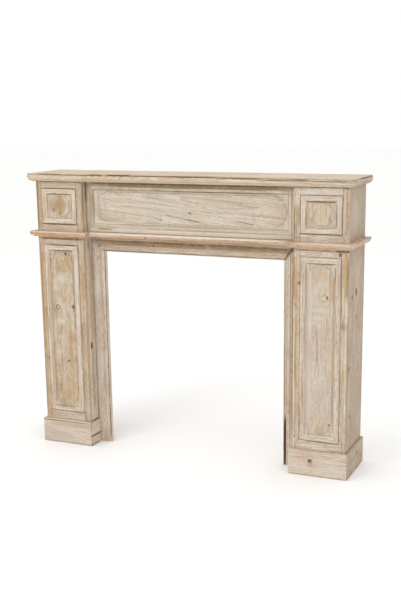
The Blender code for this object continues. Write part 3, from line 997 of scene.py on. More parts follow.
def arc(centre: Point, radii: Point, start_deg: float, end_deg: float, steps: int) -> list[Point]:
    """Points along an ellipse's arc, ends included.

    Args:
        centre: The ellipse's middle.
        radii: Its two half widths.
        start_deg: Where the arc starts.
        end_deg: Where it ends.
        steps: How many pieces it is cut into.

    Returns:
        The points.
    """
    turns = [math.radians(start_deg + (end_deg - start_deg) * index / steps) for index in range(steps + 1)]
    return [(centre[0] + radii[0] * math.cos(turn), centre[1] + radii[1] * math.sin(turn)) for turn in turns]


@dataclass(frozen=True)
class Moulding:
    """A moulding plane's section: pairs of across and rise, eased where it is sharp."""

    section: tuple[Point, ...]
    ease: float = 0.0006
    wear: float = 0.0006

    def strike(self, name: str, start: Place, end: Place, across: Vector, rise: Vector,
               mitres: Point = (0.0, 0.0)) -> Piece:
        """A straight run of the moulding.

        Args:
            name: The piece's name.
            start: One end of the line where the section's own origin runs.
            end: The other end of that line.
            across: The section's first axis.
            rise: The section's second axis.
            mitres: How far each end grows for each unit across.

        Returns:
            The run, cut square or mitred at its ends.
        """
        first, last = Vector(start), Vector(end)
        along = (last - first).normalized()
        outline = eased(self.section, self.ease)
        spare = [max(0.0, *(mitre * point[0] for point in outline)) + SPARE_LENGTH if mitre else 0.0
                 for mitre in mitres]
        origin = first - along * spare[0]
        length = (last - first).length + sum(spare)
        piece = start_outline(name, [origin + across * over + rise * up for over, up in outline])
        bpy.ops.mesh.select_all(action="SELECT")
        bpy.ops.mesh.extrude_region_move(TRANSFORM_OT_translate={"value": along * length})
        face_outwards()
        cut_lengthwise(along)
        for mitre, corner, outward in ((mitres[0], first, -along), (mitres[1], last, along)):
            if mitre:
                bpy.ops.mesh.select_all(action="SELECT")
                bpy.ops.mesh.bisect(plane_co=corner - outward * MITRE_GAP, plane_no=outward - across * mitre,
                                    use_fill=True, clear_outer=True, threshold=HAIR)
        face_outwards()
        bpy.ops.object.mode_set(mode="OBJECT")
        mark_arrises(piece, along)
        self.leave_grime(piece, first, rise)
        wear_arrises(piece, self.wear)
        finish_mesh(piece)
        return piece

    def leave_grime(self, piece: Piece, origin: Vector, rise: Vector) -> None:
        """Marks the strip's foot, where it meets what it lies on, as a place that keeps grime.

        Args:
            piece: The piece.
            origin: A point on the line where the section's origin runs.
            rise: The section's second axis.
        """
        marks = piece.data.attributes[ARRIS_ATTRIBUTE].data
        for vert, mark in zip(piece.data.vertices, marks):
            if (vert.co - origin).dot(rise) < GAP + self.ease:
                mark.value = -1.0


def ovolo_strip(height: float, reach: float, fillet: float) -> Moulding:
    """A quarter-round strip with a fillet on top, as under the shelf and for the necking.

    Args:
        height: The strip's height.
        reach: How far out the quarter round goes.
        fillet: Height of the flat edge above it.

    Returns:
        The strip's moulding.
    """
    quarter = arc((OVERHANG - reach, height - fillet), (reach, height - fillet), -90, 0, OVOLO_STEPS)
    return Moulding(((GAP, 0.0), *quarter, (OVERHANG, height), (GAP, height)), wear=STRIP_WEAR)


NECKING = ovolo_strip(height=0.021, reach=0.0175, fillet=0.004)


@dataclass(frozen=True)
class RaisedPanel:
    """A panel board whose round-ended field stands up from it with a softly rounded edge."""

    margin: float = 0.0065
    bevel: float = 0.006
    rise: float = 0.003
    quarter_steps: int = 12
    edge_steps: int = 5
    straight_step: float = 0.016

    def _rays(self, half_width: float, half_height: float) -> list[tuple[Vector, Vector]]:
        """Core points and outward directions round the field, matched from ring to ring.

        Args:
            half_width: Half the field's width.
            half_height: Half its height.

        Returns:
            The rays, in order round the field.
        """
        radius = min(half_width, half_height)
        core = Vector((half_width - radius, half_height - radius))
        corners = ((1, 1), (-1, 1), (-1, -1), (1, -1))
        rays: list[tuple[Vector, Vector]] = []
        for quarter, (x_sign, y_sign) in enumerate(corners):
            middle = Vector((core.x * x_sign, core.y * y_sign))
            if rays:
                rays += self._straight(rays[-1], middle)
            for step in range(self.quarter_steps + 1):
                turn = math.pi / 2 * (quarter + step / self.quarter_steps)
                rays.append((middle, Vector((math.cos(turn), math.sin(turn)))))
        rays += self._straight(rays[-1], rays[0][0])
        kept: list[tuple[Vector, Vector]] = []
        for ray in rays:
            if not kept or self._apart(ray, kept[-1]):
                kept.append(ray)
        return kept if self._apart(kept[0], kept[-1]) else kept[:-1]

    @staticmethod
    def _apart(one: tuple[Vector, Vector], other: tuple[Vector, Vector]) -> bool:
        """True if two rays reach different places."""
        return (one[0] + one[1] - other[0] - other[1]).length > HAIR

    def _straight(self, last: tuple[Vector, Vector], target: Vector) -> list[tuple[Vector, Vector]]:
        """Rays between two quarters, spaced evenly along the straight side.

        Args:
            last: The last ray before the side.
            target: Core point at the side's end.

        Returns:
            The rays between the two.
        """
        middle, way = last
        count = int((target - middle).length / self.straight_step)
        return [(middle.lerp(target, step / count), way) for step in range(1, count)]

    def carve(self, name: str, low: Vector, high: Vector, clear_low: Point, clear_high: Point) -> Piece:
        """The board, lofted from its back through the foot of the field to its flat top.

        Args:
            name: The piece's name.
            low: The board's lowest corner.
            high: The board's highest corner, with the panel's face at the lowest Y.
            clear_low: Lowest X and Z of the opening inside the panel's moulding.
            clear_high: Highest X and Z of that opening.

        Returns:
            The panel.
        """
        centre = Vector(((clear_low[0] + clear_high[0]) / 2, (clear_low[1] + clear_high[1]) / 2))
        half = Vector(((clear_high[0] - clear_low[0]) / 2 - self.margin,
                       (clear_high[1] - clear_low[1]) / 2 - self.margin))
        rays = self._rays(half.x, half.y)
        radius = min(half)
        board = Vector(((high.x - low.x) / 2, (high.z - low.z) / 2))

        def ring(size: float, y: float) -> list[Vector]:
            """A loop round the field, this far out from its core."""
            return [Vector((centre.x + core.x + way.x * size, y, centre.y + core.y + way.y * size))
                    for core, way in rays]

        def edge(y: float) -> list[Vector]:
            """The board's outline, a point on it for each ray.

            Args:
                y: Where the outline lies.

            Returns:
                Its points.
            """
            found = []
            for core, way in rays:
                square = way / max(abs(way.x), abs(way.y))
                reach = board - Vector((abs(core.x), abs(core.y)))
                found.append(Vector((centre.x + core.x + square.x * reach.x, y,
                                     centre.y + core.y + square.y * reach.y)))
            return found

        face = low.y
        loops = [edge(high.y), edge(face), ring(radius + 0.6 * self.margin, face), ring(radius, face)]
        for over, up in arc((0.0, 0.0), (self.bevel, self.rise), 90, 0, self.edge_steps)[::-1][1:]:
            loops.append(ring(radius - self.bevel + over, face - up))
        loops.append(ring(radius - self.bevel - SUPPORT, face - self.rise))
        piece = start_outline(name, loops[0])
        bpy.ops.mesh.select_mode(type="FACE")
        bpy.ops.mesh.select_all(action="SELECT")
        for before, after in zip(loops, loops[1:]):
            bpy.ops.mesh.extrude_region_move(TRANSFORM_OT_translate={"value": (0.0, 0.0, 0.0)})
            bm = bmesh.from_edit_mesh(piece.data)
            where = {tuple(round(c, 6) for c in place): index for index, place in enumerate(before)}
            for vert in [vert for vert in bm.verts if vert.select]:
                vert.co = after[where[tuple(round(c, 6) for c in vert.co)]]
            bmesh.update_edit_mesh(piece.data)
        face_outwards()
        bpy.ops.object.mode_set(mode="OBJECT")
        mark_arrises(piece)
        finish_mesh(piece)
        return piece


def worn(node: str) -> str:
    """Name of the finished piece that stands for a node."""
    return f"worn_{node}"


def near_x(node: str) -> float:
    """How far a node's nearer side stands from the middle."""
    low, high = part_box(node)
    return min(abs(low.x), abs(high.x))


def far_x(node: str) -> float:
    """How far a node's farther side stands from the middle."""
    low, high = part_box(node)
    return max(abs(low.x), abs(high.x))


@dataclass
class BoardWork:
    """What every sub-assembly needs to turn packed boards into finished ones."""

    knots: dict[str, Sequence[Knot]] = field(default_factory=dict)
    stains: Sequence[Stain] = ()

    def plank(self, node: str, run: Run, finish: LimedPine, slot: str, hidden: FaceTest = faces_wall,
              arris: float = ARRIS, wear: float = BOARD_WEAR) -> None:
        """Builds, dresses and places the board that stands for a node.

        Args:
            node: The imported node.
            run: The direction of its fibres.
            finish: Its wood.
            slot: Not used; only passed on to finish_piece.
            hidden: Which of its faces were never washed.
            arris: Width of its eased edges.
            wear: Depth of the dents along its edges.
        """
        low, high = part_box(node)
        piece = saw_plank(worn(node), low, high, run, arris, wear)
        mark_bare(piece, hidden)
        self.finish_piece(piece, node, run, finish, slot)

    def strip(self, node: str, shape: Moulding, ends: tuple[Place, Place], axes: tuple[Vector, Vector],
              mitres: Point, run: Run, finish: LimedPine, slot: str) -> None:
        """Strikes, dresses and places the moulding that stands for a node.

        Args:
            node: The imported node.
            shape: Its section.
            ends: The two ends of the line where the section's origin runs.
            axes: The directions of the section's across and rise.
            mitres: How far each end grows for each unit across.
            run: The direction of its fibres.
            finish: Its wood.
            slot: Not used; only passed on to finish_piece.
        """
        self.finish_piece(shape.strike(worn(node), *ends, *axes, mitres), node, run, finish, slot)

    def finish_piece(self, piece: Piece, node: str, run: Run, finish: LimedPine, slot: str) -> None:
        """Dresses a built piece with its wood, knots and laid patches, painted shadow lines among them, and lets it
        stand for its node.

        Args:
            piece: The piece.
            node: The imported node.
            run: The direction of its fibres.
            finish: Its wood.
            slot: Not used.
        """
        if BARE_ATTRIBUTE not in piece.data.attributes:
            mark_bare(piece, faces_wall)
        low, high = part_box(node)
        stains = [stain for stain in self.stains if stain.touches(low, high)]
        finish.dress(piece, run, self.knots.get(node, ()), stains)
        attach(piece, "root")
        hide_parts(node)
        LOG.info("%s: %d faces, stands for %s", piece.name, len(piece.data.polygons), node)


@dataclass
class Shelf(BoardWork):
    """Mantel board with a thin rebated lip, and the ovolo strips under it."""

    lip: float = 0.005
    fillet: float = 0.006
    reach: float = 0.018
    thickness: float = 0.030
    flat_margin: float = 0.006

    def build(self) -> None:
        """Builds the board and its three strips."""
        self.mantel_board()
        low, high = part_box("mantel_board")
        outer, back, front = high.x - OVERHANG, high.y, low.y + OVERHANG
        shape = ovolo_strip(self.thickness - self.lip - GAP, self.reach, self.fillet)
        for side in Side:
            x = side.sign * outer
            # the end strips take the wash darkened as painted shade
            self.strip(f"shelf_moulding_{side.word}", shape, ((x, back, low.z), (x, front, low.z)),
                       (side.sign * RIGHT, UP), (0, 1), Run.ALONG_Y, SHADED_SIDE_LIMED, "limed_moulding")
        self.strip("shelf_moulding_front", shape, ((-outer, front, low.z), (outer, front, low.z)),
                   (FORWARD, UP), (1, 1), Run.ALONG_X, LIMED_SHELF, "limed_moulding")

    def mantel_board(self) -> None:
        """The board: a core, widened into a lip along its front and ends."""
        node = "mantel_board"
        low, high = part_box(node)
        core_low = Vector((low.x + OVERHANG, low.y + OVERHANG, low.z))
        core_high = Vector((high.x - OVERHANG, high.y, high.z - self.lip))
        piece = start_block(worn(node), core_low, core_high)
        pick("FACE", lambda face: face.normal.z > 0.9)
        bpy.ops.mesh.extrude_region_move(TRANSFORM_OT_translate={"value": (0.0, 0.0, 0.0)})
        bm = bmesh.from_edit_mesh(piece.data)
        for vert in [vert for vert in bm.verts if vert.select]:
            vert.co.x += math.copysign(OVERHANG, vert.co.x)
            vert.co.y -= OVERHANG if vert.co.y < 0 else 0.0
        bmesh.update_edit_mesh(piece.data)
        bpy.ops.mesh.extrude_region_move(TRANSFORM_OT_translate={"value": (0.0, 0.0, self.lip)})
        pick("EDGE", lambda edge: min(vert.co.z for vert in edge.verts) > core_high.z - HAIR
             and edge.is_manifold and edge.calc_face_angle(0.0) > 1.0
             and abs(edge.verts[0].co.x) > core_high.x + 1e-4)
        bpy.ops.mesh.bevel(offset=LIP_ARRIS, segments=ARRIS_SEGMENTS, affect="EDGES")
        pick("FACE", lambda face: face.normal.z > 0.99 and face.calc_area() > 0.01)
        bpy.ops.mesh.inset(thickness=self.flat_margin)
        cut_lengthwise(RIGHT)
        cut_lengthwise(FORWARD)
        bpy.ops.object.mode_set(mode="OBJECT")
        mark_arrises(piece)
        wear_arrises(piece, SHELF_WEAR)
        finish_mesh(piece)
        under_lip = high.z - 2 * self.lip
        mark_bare(piece, lambda middle, normal: faces_wall(middle, normal)
                  or (normal.z < -SQUARE_ON and middle.z < under_lip))
        self.finish_piece(piece, node, Run.ALONG_X, LIMED_SHELF, "limed_shelf")


@dataclass
class Leg(BoardWork):
    """One leg: side boards, corner block, pilaster, necking and plinth."""

    side: Side = Side.LEFT
    quirk: float = 0.001
    moulding_width: float = 0.020
    band: float = 0.009
    shoulder: float = 0.0025
    step: float = 0.001
    lip: float = 0.0025
    recess: float = 0.005
    proud: float = 0.003
    plinth_ease: float = 0.0012
    plinth_wear: float = 0.0010

    @property
    def word(self) -> str:
        """The side's name in piece names."""
        return self.side.word

    def by_side(self, left: LimedPine, right: LimedPine) -> LimedPine:
        """The finish that belongs to this leg's side."""
        return left if self.side is Side.LEFT else right

    def build(self) -> None:
        """Builds the leg from its side boards outwards."""
        self.side_boards()
        for part in ("block", "pilaster"):
            self.face_frame(part)
        self.framed_panel("block", DISC_PANEL)
        self.framed_panel("pilaster", self.by_side(TAN_PANEL, PINK_PANEL))
        self.necking()
        self.plinth()

    def side_boards(self) -> None:
        """Two boards from the floor to the shelf, bare on the faces inside the leg."""
        # the outer board takes the wash darkened as painted shade
        for place, looks_in, wood in (("outer", -self.side.sign, SHADED_SIDE_LIMED), ("inner", self.side.sign, LIMED)):
            self.plank(f"{self.word}_leg_{place}_board", Run.ALONG_Z, wood, "limed_sides",
                       lambda middle, normal, inward=looks_in: faces_wall(middle, normal)
                       or normal.x * inward > SQUARE_ON)

    def face_frame(self, part: str) -> None:
        """Two stiles and two rails round a panel.

        Args:
            part: Which part of the leg: block or pilaster.
        """
        stile = (Run.ALONG_Z, self.by_side(LIMED_TAN, LIMED_STILE), STILE_ARRIS)
        rail = (Run.ALONG_X, self.by_side(LIMED_THIN, LIMED), RAIL_ARRIS)
        for place, (run, wood, arris) in (("outer_stile", stile), ("inner_stile", stile),
                                          ("top_rail", rail), ("bottom_rail", rail)):
            self.plank(f"{self.word}_{part}_{place}", run, wood, "limed_frame", arris=arris, wear=arris / 2)

    def panel_moulding(self) -> Moulding:
        """Section round the panels: outer band, small step and an ovolo down to the panel.

        Returns:
            The moulding.
        """
        width, peak, shoulder = self.moulding_width, self.recess + self.proud, self.shoulder
        inner = width - self.band
        crown = peak - self.step
        corner = arc((width - shoulder, peak - shoulder), (shoulder, shoulder), 0, 90, SHOULDER_STEPS)
        ovolo = arc((inner, self.lip), (inner, crown - self.lip), 90, 180, SMALL_OVOLO_STEPS)
        return Moulding(((0.0, GAP), (width, GAP), *corner, (inner, peak), *ovolo), ease=0.0004, wear=0.0005)

    def framed_panel(self, part: str, wood: LimedPine) -> None:
        """The raised panel in a face frame and the mitred moulding round it.

        Args:
            part: Which part of the leg: block or pilaster.
            wood: The panel's wood.
        """
        node = f"{self.word}_{part}_panel"
        low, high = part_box(node)
        inset = self.quirk + self.moulding_width - GAP
        clear_low = (low.x + inset, low.z + inset)
        clear_high = (high.x - inset, high.z - inset)
        raised = RaisedPanel()
        face = Vector((low.x, low.y + raised.rise, low.z))
        piece = raised.carve(worn(node), face, high, clear_low, clear_high)
        self.finish_piece(piece, node, Run.ALONG_Z, wood, "limed_panel")
        strips = self.strike_round(part, clear_low, clear_high, face.y)
        if part == "block":
            self.glue_up(strips, f"{self.word}_block_moulding")
            return
        inner, outer = ("right", "left") if self.side is Side.LEFT else ("left", "right")
        for place, strip, run, finish in ((inner, "inner", Run.ALONG_Z, LIMED_FINE),
                                          (outer, "outer", Run.ALONG_Z, LIMED_FINE),
                                          ("top", "top", Run.ALONG_X, LIMED),
                                          ("bottom", "bottom", Run.ALONG_X, LIMED)):
            node = f"{self.word}_pilaster_moulding_{strip}"
            self.finish_piece(named(strips[place], worn(node)), node, run, finish, "limed_moulding")

    def strike_round(self, part: str, low: Point, high: Point, y: float) -> dict[str, Piece]:
        """Four mitred strips round an opening, by the edge that each lies on.

        Args:
            part: Which part of the leg: block or pilaster.
            low: Lowest X and Z of the opening.
            high: Highest X and Z of it.
            y: Where the panel's face lies.

        Returns:
            The strips, by edge.
        """
        shape = self.panel_moulding()
        return {place: shape.strike(f"{part}_strip_{place}", *ends, across, FORWARD, (1, 1))
                for place, ends, across in round_opening(low, high, y)}

    def glue_up(self, strips: dict[str, Piece], node: str) -> None:
        """Joins four strips into the block's frame; each keeps its fibres along its length.

        Args:
            strips: The four strips, by edge.
            node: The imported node.
        """
        start_clean()
        for place, strip in strips.items():
            level = 1.0 if place in ("top", "bottom") else 0.0
            store(strip, LEVEL_ATTRIBUTE, "FACE", [level] * len(strip.data.polygons))
            strip.select_set(True)
        whole = strips["left"]
        bpy.context.view_layer.objects.active = whole
        bpy.ops.object.join()
        self.finish_piece(named(whole, worn(node)), node, Run.ALONG_Z, LIMED, "limed_moulding")

    def necking(self) -> None:
        """The necking's three runs round the leg."""
        sign = self.side.sign
        outer_x = sign * far_x(f"{self.word}_leg_outer_board")
        inner_x = sign * near_x(f"{self.word}_leg_inner_board")
        _, board_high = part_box(f"{self.word}_leg_outer_board")
        front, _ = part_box(f"{self.word}_necking_front")
        middle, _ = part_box("necking_centre")
        y, middle_y, z = front.y + OVERHANG, middle.y + OVERHANG, front.z
        runs = (
            ("outer", ((outer_x, board_high.y, z), (outer_x, y, z)), sign * RIGHT, (0, 1), Run.ALONG_Y),
            ("front", ((inner_x, y, z), (outer_x, y, z)), FORWARD, (1, 1), Run.ALONG_X),
            ("inner", ((inner_x, y, z), (inner_x, middle_y, z)), -sign * RIGHT, (1, -1), Run.ALONG_Y),
        )
        for place, ends, across, mitres, run in runs:
            self.strip(f"{self.word}_necking_{place}", NECKING, ends, (across, UP), mitres, run, AMBER,
                       "worn_necking")

    def plinth(self) -> None:
        """Plinth boards round the foot, mitred at the two front corners."""
        sign = self.side.sign
        front_low, front_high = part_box(f"{self.word}_plinth_front")
        _, board_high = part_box(f"{self.word}_leg_outer_board")
        _, inner_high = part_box(f"{self.word}_plinth_inner")
        stile_low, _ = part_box(f"{self.word}_pilaster_outer_stile")
        outer_x = sign * far_x(f"{self.word}_leg_outer_board")
        inner_x = sign * near_x(f"{self.word}_leg_inner_board")
        y = stile_low.y
        front_thickness = y - front_low.y
        side_thickness = far_x(f"{self.word}_plinth_outer") - abs(outer_x)
        front = self.plinth_section(front_thickness, front_high.z)
        flank = self.plinth_section(side_thickness, front_high.z)
        ratio = side_thickness / front_thickness
        runs = (
            ("front", front, ((inner_x, y, 0), (outer_x, y, 0)), FORWARD, (ratio, ratio), Run.ALONG_X,
             LIMED_PLINTH),
            # the outer plinth board takes the wash darkened as painted shade
            ("outer", flank, ((outer_x, board_high.y, 0), (outer_x, y, 0)), sign * RIGHT, (0, 1 / ratio),
             Run.ALONG_Y, SHADED_SIDE_LIMED),
            ("inner", flank, ((inner_x, inner_high.y, 0), (inner_x, y, 0)), -sign * RIGHT, (0, 1 / ratio),
             Run.ALONG_Y, LIMED),
        )
        for place, shape, ends, across, mitres, run, finish in runs:
            self.strip(f"{self.word}_plinth_{place}", shape, ends, (across, UP), mitres, run, finish, "limed_plinth")

    def plinth_section(self, thickness: float, height: float) -> Moulding:
        """Section of a plain plinth board with eased arrises."""
        return Moulding(((GAP, 0.0), (thickness, 0.0), (thickness, height), (GAP, height)),
                        ease=self.plinth_ease, wear=self.plinth_wear)


def round_opening(low: Point, high: Point, y: float) -> tuple[tuple[str, tuple[Place, Place], Vector], ...]:
    """The four edges of an upright opening: name, two ends and the direction away from it.

    Args:
        low: Lowest X and Z of the opening.
        high: Highest X and Z of it.
        y: Where the face round it lies.

    Returns:
        The edges: left, right, bottom and top.
    """
    left_foot, right_foot = (low[0], y, low[1]), (high[0], y, low[1])
    left_head, right_head = (low[0], y, high[1]), (high[0], y, high[1])
    return (("left", (left_foot, left_head), -RIGHT), ("right", (right_foot, right_head), RIGHT),
            ("bottom", (left_foot, right_foot), -UP), ("top", (left_head, right_head), UP))


@dataclass
class Frieze(BoardWork):
    """Set-back frieze: round-ended raised panel in a mitred frame, with necking and soffit."""

    frame_width: float = 0.030
    frame_thickness: float = 0.009
    frame_flat: float = 0.016
    frame_lip: float = 0.002
    step: float = 0.001

    def build(self) -> None:
        """Builds the panel, its frame, the middle necking and the soffit board."""
        node = "frieze_panel"
        low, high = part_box(node)
        raised = RaisedPanel()
        face = Vector((low.x, low.y + raised.rise, low.z))
        clear_low = (low.x + self.frame_width, low.z + self.frame_width)
        clear_high = (high.x - self.frame_width, high.z - self.frame_width)
        piece = raised.carve(worn(node), face, high, clear_low, clear_high)
        self.finish_piece(piece, node, Run.ALONG_X, FRIEZE_PANEL, "limed_panel")
        self.frame(clear_low, clear_high, face.y)
        self.necking()
        self.plank("soffit_board", Run.ALONG_X, BARE, "bare_pine")

    def frame(self, low: Point, high: Point, y: float) -> None:
        """Four mitred strips round the frieze panel.

        Args:
            low: Lowest X and Z of the opening.
            high: Highest X and Z of it.
            y: Where the panel's face lies.
        """
        slope = self.frame_width - self.frame_flat
        crown = self.frame_thickness - self.step
        ovolo = arc((slope, self.frame_lip), (slope, crown - self.frame_lip), 90, 180, SMALL_OVOLO_STEPS)
        shape = Moulding(((0.0, GAP), (self.frame_width, GAP), (self.frame_width, self.frame_thickness),
                          (slope, self.frame_thickness), *ovolo), ease=0.0005)
        woods = {"left": LIMED_THIN, "right": LIMED_FINE, "bottom": LIMED_PANEL, "top": LIMED}
        for place, ends, across in round_opening(low, high, y):
            run = Run.ALONG_Z if place in ("left", "right") else Run.ALONG_X
            self.strip(f"frieze_frame_{place}", shape, ends, (across, FORWARD), (1, 1), run, woods[place],
                       "limed_frame")

    def necking(self) -> None:
        """The necking's middle run, scribed between the legs."""
        low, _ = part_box("necking_centre")
        half = near_x("right_leg_inner_board")
        y = low.y + OVERHANG
        self.strip("necking_centre", NECKING, ((-half, y, low.z), (half, y, low.z)), (FORWARD, UP), (-1, -1),
                   Run.ALONG_X, AMBER, "worn_necking")


@dataclass
class OpeningSurround(BoardWork):
    """Moulded jambs and lintel round the fire opening."""

    width: float = 0.056
    thickness: float = 0.012
    fascia: float = 0.020
    bead: float = 0.006
    bead_rise: float = 0.002
    step: float = 0.0015
    band: float = 0.017
    band_rise: float = 0.004

    def section(self) -> Moulding:
        """Fascia, bead, second fascia and a rounded outer band.

        Returns:
            The moulding.
        """
        width, level = self.width - GAP, self.thickness
        top = level + self.band_rise
        shoulder = self.band_rise - self.step
        band_start = self.width - self.band
        half_bead = self.bead / 2
        outer = arc((width - shoulder, top - shoulder), (shoulder, shoulder), 0, 90, SHOULDER_STEPS)
        inner = arc((band_start + shoulder, top - shoulder), (shoulder, shoulder), 90, 180, SHOULDER_STEPS)
        bead = arc((self.fascia + half_bead, level), (half_bead, self.bead_rise), 0, 180, SMALL_OVOLO_STEPS)
        second = (self.fascia + self.bead + self.step, level + self.step)
        return Moulding(((0.0, 0.0), (width, 0.0), *outer, *inner, second, *bead, (0.0, level)), ease=0.0005)

    def build(self) -> None:
        """Builds both jambs and the lintel."""
        _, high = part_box("architrave_lintel")
        top, half, y = high.z - self.width + GAP, high.x - self.width + GAP, high.y
        shape = self.section()
        for side in Side:
            x = side.sign * half
            self.strip(f"architrave_{side.word}", shape, ((x, y, 0.0), (x, y, top)), (side.sign * RIGHT, FORWARD),
                       (0, 1), Run.ALONG_Z, LIMED_FINE, "limed_architrave")
        self.strip("architrave_lintel", shape, ((-half, y, top), (half, y, top)), (UP, FORWARD), (1, 1),
                   Run.ALONG_X, LIMED_THIN, "limed_architrave")


@dataclass(frozen=True)
class SoftBox:
    """A square lamp that looks at the middle of the surround."""

    name: str
    place: Place
    size: float
    watts: float

    def hang(self, aim: Vector) -> None:
        """Adds the lamp to the scene.

        Args:
            aim: The point that it looks at.
        """
        lamp = bpy.data.lights.new(self.name, "AREA")
        lamp.shape = "SQUARE"
        lamp.size = self.size
        lamp.energy = self.watts
        holder = bpy.data.objects.new(self.name, lamp)
        bpy.context.scene.collection.objects.link(holder)
        holder.location = self.place
        holder.rotation_mode = "QUATERNION"
        holder.rotation_quaternion = (aim - Vector(self.place)).to_track_quat("-Z", "Y")


@dataclass
class Studio:
    """Plain pale floor, soft light from all round with a little more from the front, and the camera."""

    camera_place: Place = (1.46708, -3.27485, 1.27372)
    yaw: float = 0.39632
    pitch: float = 0.22602
    roll: float = -0.00958
    focal_px: float = 984.29765
    centre_px: Point = (219.78454, 336.14737)
    picture_px: Point = (401.0, 601.0)
    sensor_mm: float = 36.0
    room: str = "#FCFCFC"
    room_strength: float = 1.03
    floor: str = "#FDFDFC"
    floor_size: float = 60.0
    aim: Place = (0.0, 0.0, 0.55)
    lamps: tuple[SoftBox, ...] = (
        SoftBox("front_soft_box", (-1.4, -3.4, 2.9), 1.8, 25.5),
        SoftBox("right_soft_box", (3.6, -1.6, 2.2), 2.0, 0.8),
        SoftBox("top_soft_box", (0.2, -0.6, 3.4), 2.6, 10.0),
    )

    def build(self) -> None:
        """Sets the stage."""
        self.lay_floor()
        self.light_room()
        self.place_camera()
        bpy.context.scene.view_settings.view_transform = "Standard"

    def lay_floor(self) -> None:
        """A seamless pale floor, far wider than the picture."""
        start_clean()
        bpy.ops.mesh.primitive_plane_add(size=self.floor_size)
        floor = bpy.context.object
        floor.name = "studio_floor"
        paint = Recipe.start("matt_white_studio_floor")
        paint.surface({"Base Color": linear(self.floor), "Roughness": 0.9, "Specular IOR Level": 0.2})
        floor.data.materials.append(paint.material)

    def light_room(self) -> None:
        """White room light, one large soft box before the left front and weaker ones right and above."""
        world = bpy.data.worlds.new("white_studio")
        world.use_nodes = True
        tree = world.node_tree
        tree.nodes.clear()
        glow = add_node(tree, "ShaderNodeBackground",
                        {"Color": linear(self.room), "Strength": self.room_strength})
        add_node(tree, "ShaderNodeOutputWorld", {"Surface": glow.outputs[0]})
        bpy.context.scene.world = world
        for lamp in self.lamps:
            lamp.hang(Vector(self.aim))

    def place_camera(self) -> None:
        """The camera that took the photograph, as fitted to the surround's corners."""
        look = Vector((-math.sin(self.yaw) * math.cos(self.pitch), math.cos(self.yaw) * math.cos(self.pitch),
                       -math.sin(self.pitch)))
        level = Vector((math.cos(self.yaw), math.sin(self.yaw), 0.0))
        up = level.cross(look)
        right = level * math.cos(self.roll) + up * math.sin(self.roll)
        upright = up * math.cos(self.roll) - level * math.sin(self.roll)
        camera = bpy.data.cameras.new("photo_camera")
        camera.sensor_width = self.sensor_mm
        long_side = max(self.picture_px)
        camera.lens = self.sensor_mm * self.focal_px / long_side
        camera.shift_x = (self.picture_px[0] / 2 - self.centre_px[0]) / long_side
        camera.shift_y = (self.centre_px[1] - self.picture_px[1] / 2) / long_side
        holder = bpy.data.objects.new("photo_camera", camera)
        bpy.context.scene.collection.objects.link(holder)
        turn = Matrix((right, upright, -look)).transposed()
        holder.matrix_world = Matrix.Translation(self.camera_place) @ turn.to_4x4()
        bpy.context.scene.camera = holder


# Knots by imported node, where the real boards have them. Fronts: block and pilaster fields lie at
# y -92.5 mm, frames at -94.5, the frieze field at -58.5 and its frame at -64.5.
KNOTS: dict[str, Sequence[Knot]] = {
    "left_block_panel": (knot(-534, -92, 913, 5.5, 6.5, 0.15, 0.6),),
    "left_pilaster_panel": (
        knot(-537, -92, 542, 8, 9, 0.05, 0.85),
        knot(-469, -92, 547, 5.5, 6.5, 0.65, 0.6),
        knot(-493, -92, 749, 4, 5.5, 0.9, 0.7),
        knot(-498, -92, 332, 4, 5, 0.8, 0.5),
    ),
    "left_pilaster_moulding_inner": (knot(-458, -97, 180, 3, 4, 0.7, 0.5),),
    "left_leg_inner_board": (knot(-412, -63, 393, 7, 12, 0.85, 0.8),),
    "frieze_panel": (
        knot(9, -58, 914, 4, 3, 0.45, 0.4),
        knot(-107, -58, 887, 4, 3, 0.45, 0.4),
        knot(249, -58, 882, 4, 3, 0.4, 0.35),
    ),
    "necking_centre": (
        knot(-158, -87, 818, 5, 6, 0.8, 0.6),
        knot(70, -87, 811, 4, 5, 0.7, 0.5),
        knot(275, -87, 805, 4, 5, 0.7, 0.5),
    ),
    "architrave_lintel": (knot(-153, -32, 786, 4, 5, 0.8, 0.6), knot(-379, -32, 778, 4, 5, 0.5, 0.4)),
    "architrave_left": (knot(-381, -32, 776, 4, 5, 0.5, 0.4),),
    "right_pilaster_panel": (
        knot(523, -92, 642, 11, 11.5, 0.0, 0.3),
        knot(558, -92, 320, 2.5, 3, 0.6, 0.5),
        knot(547, -92, 193, 3, 4, 0.9, 0.6),
    ),
    "right_pilaster_top_rail": (knot(577, -94, 795, 5, 6, 0.6, 0.9),),
    "right_pilaster_inner_stile": (knot(432, -94, 692, 4, 5.5, 0.7, 0.5),),
    "right_plinth_front": (knot(482, -106, 57, 6.5, 6, 0.7, 0.9),),
    "right_plinth_outer": (knot(617, 27, 63, 6, 6, 0.6, 0.5),),
    "right_leg_outer_board": (
        knot(607, 12, 653, 11, 12, 0.6, 0.75),
        knot(607, -40, 642, 8, 7, 0.5, 0.6),
        knot(607, 22, 563, 7, 9, 0.5, 0.5),
        knot(607, -69, 394, 7, 9, 0.5, 0.7),
        knot(607, -50, 219, 7, 7, 0.4, 0.6),
    ),
}
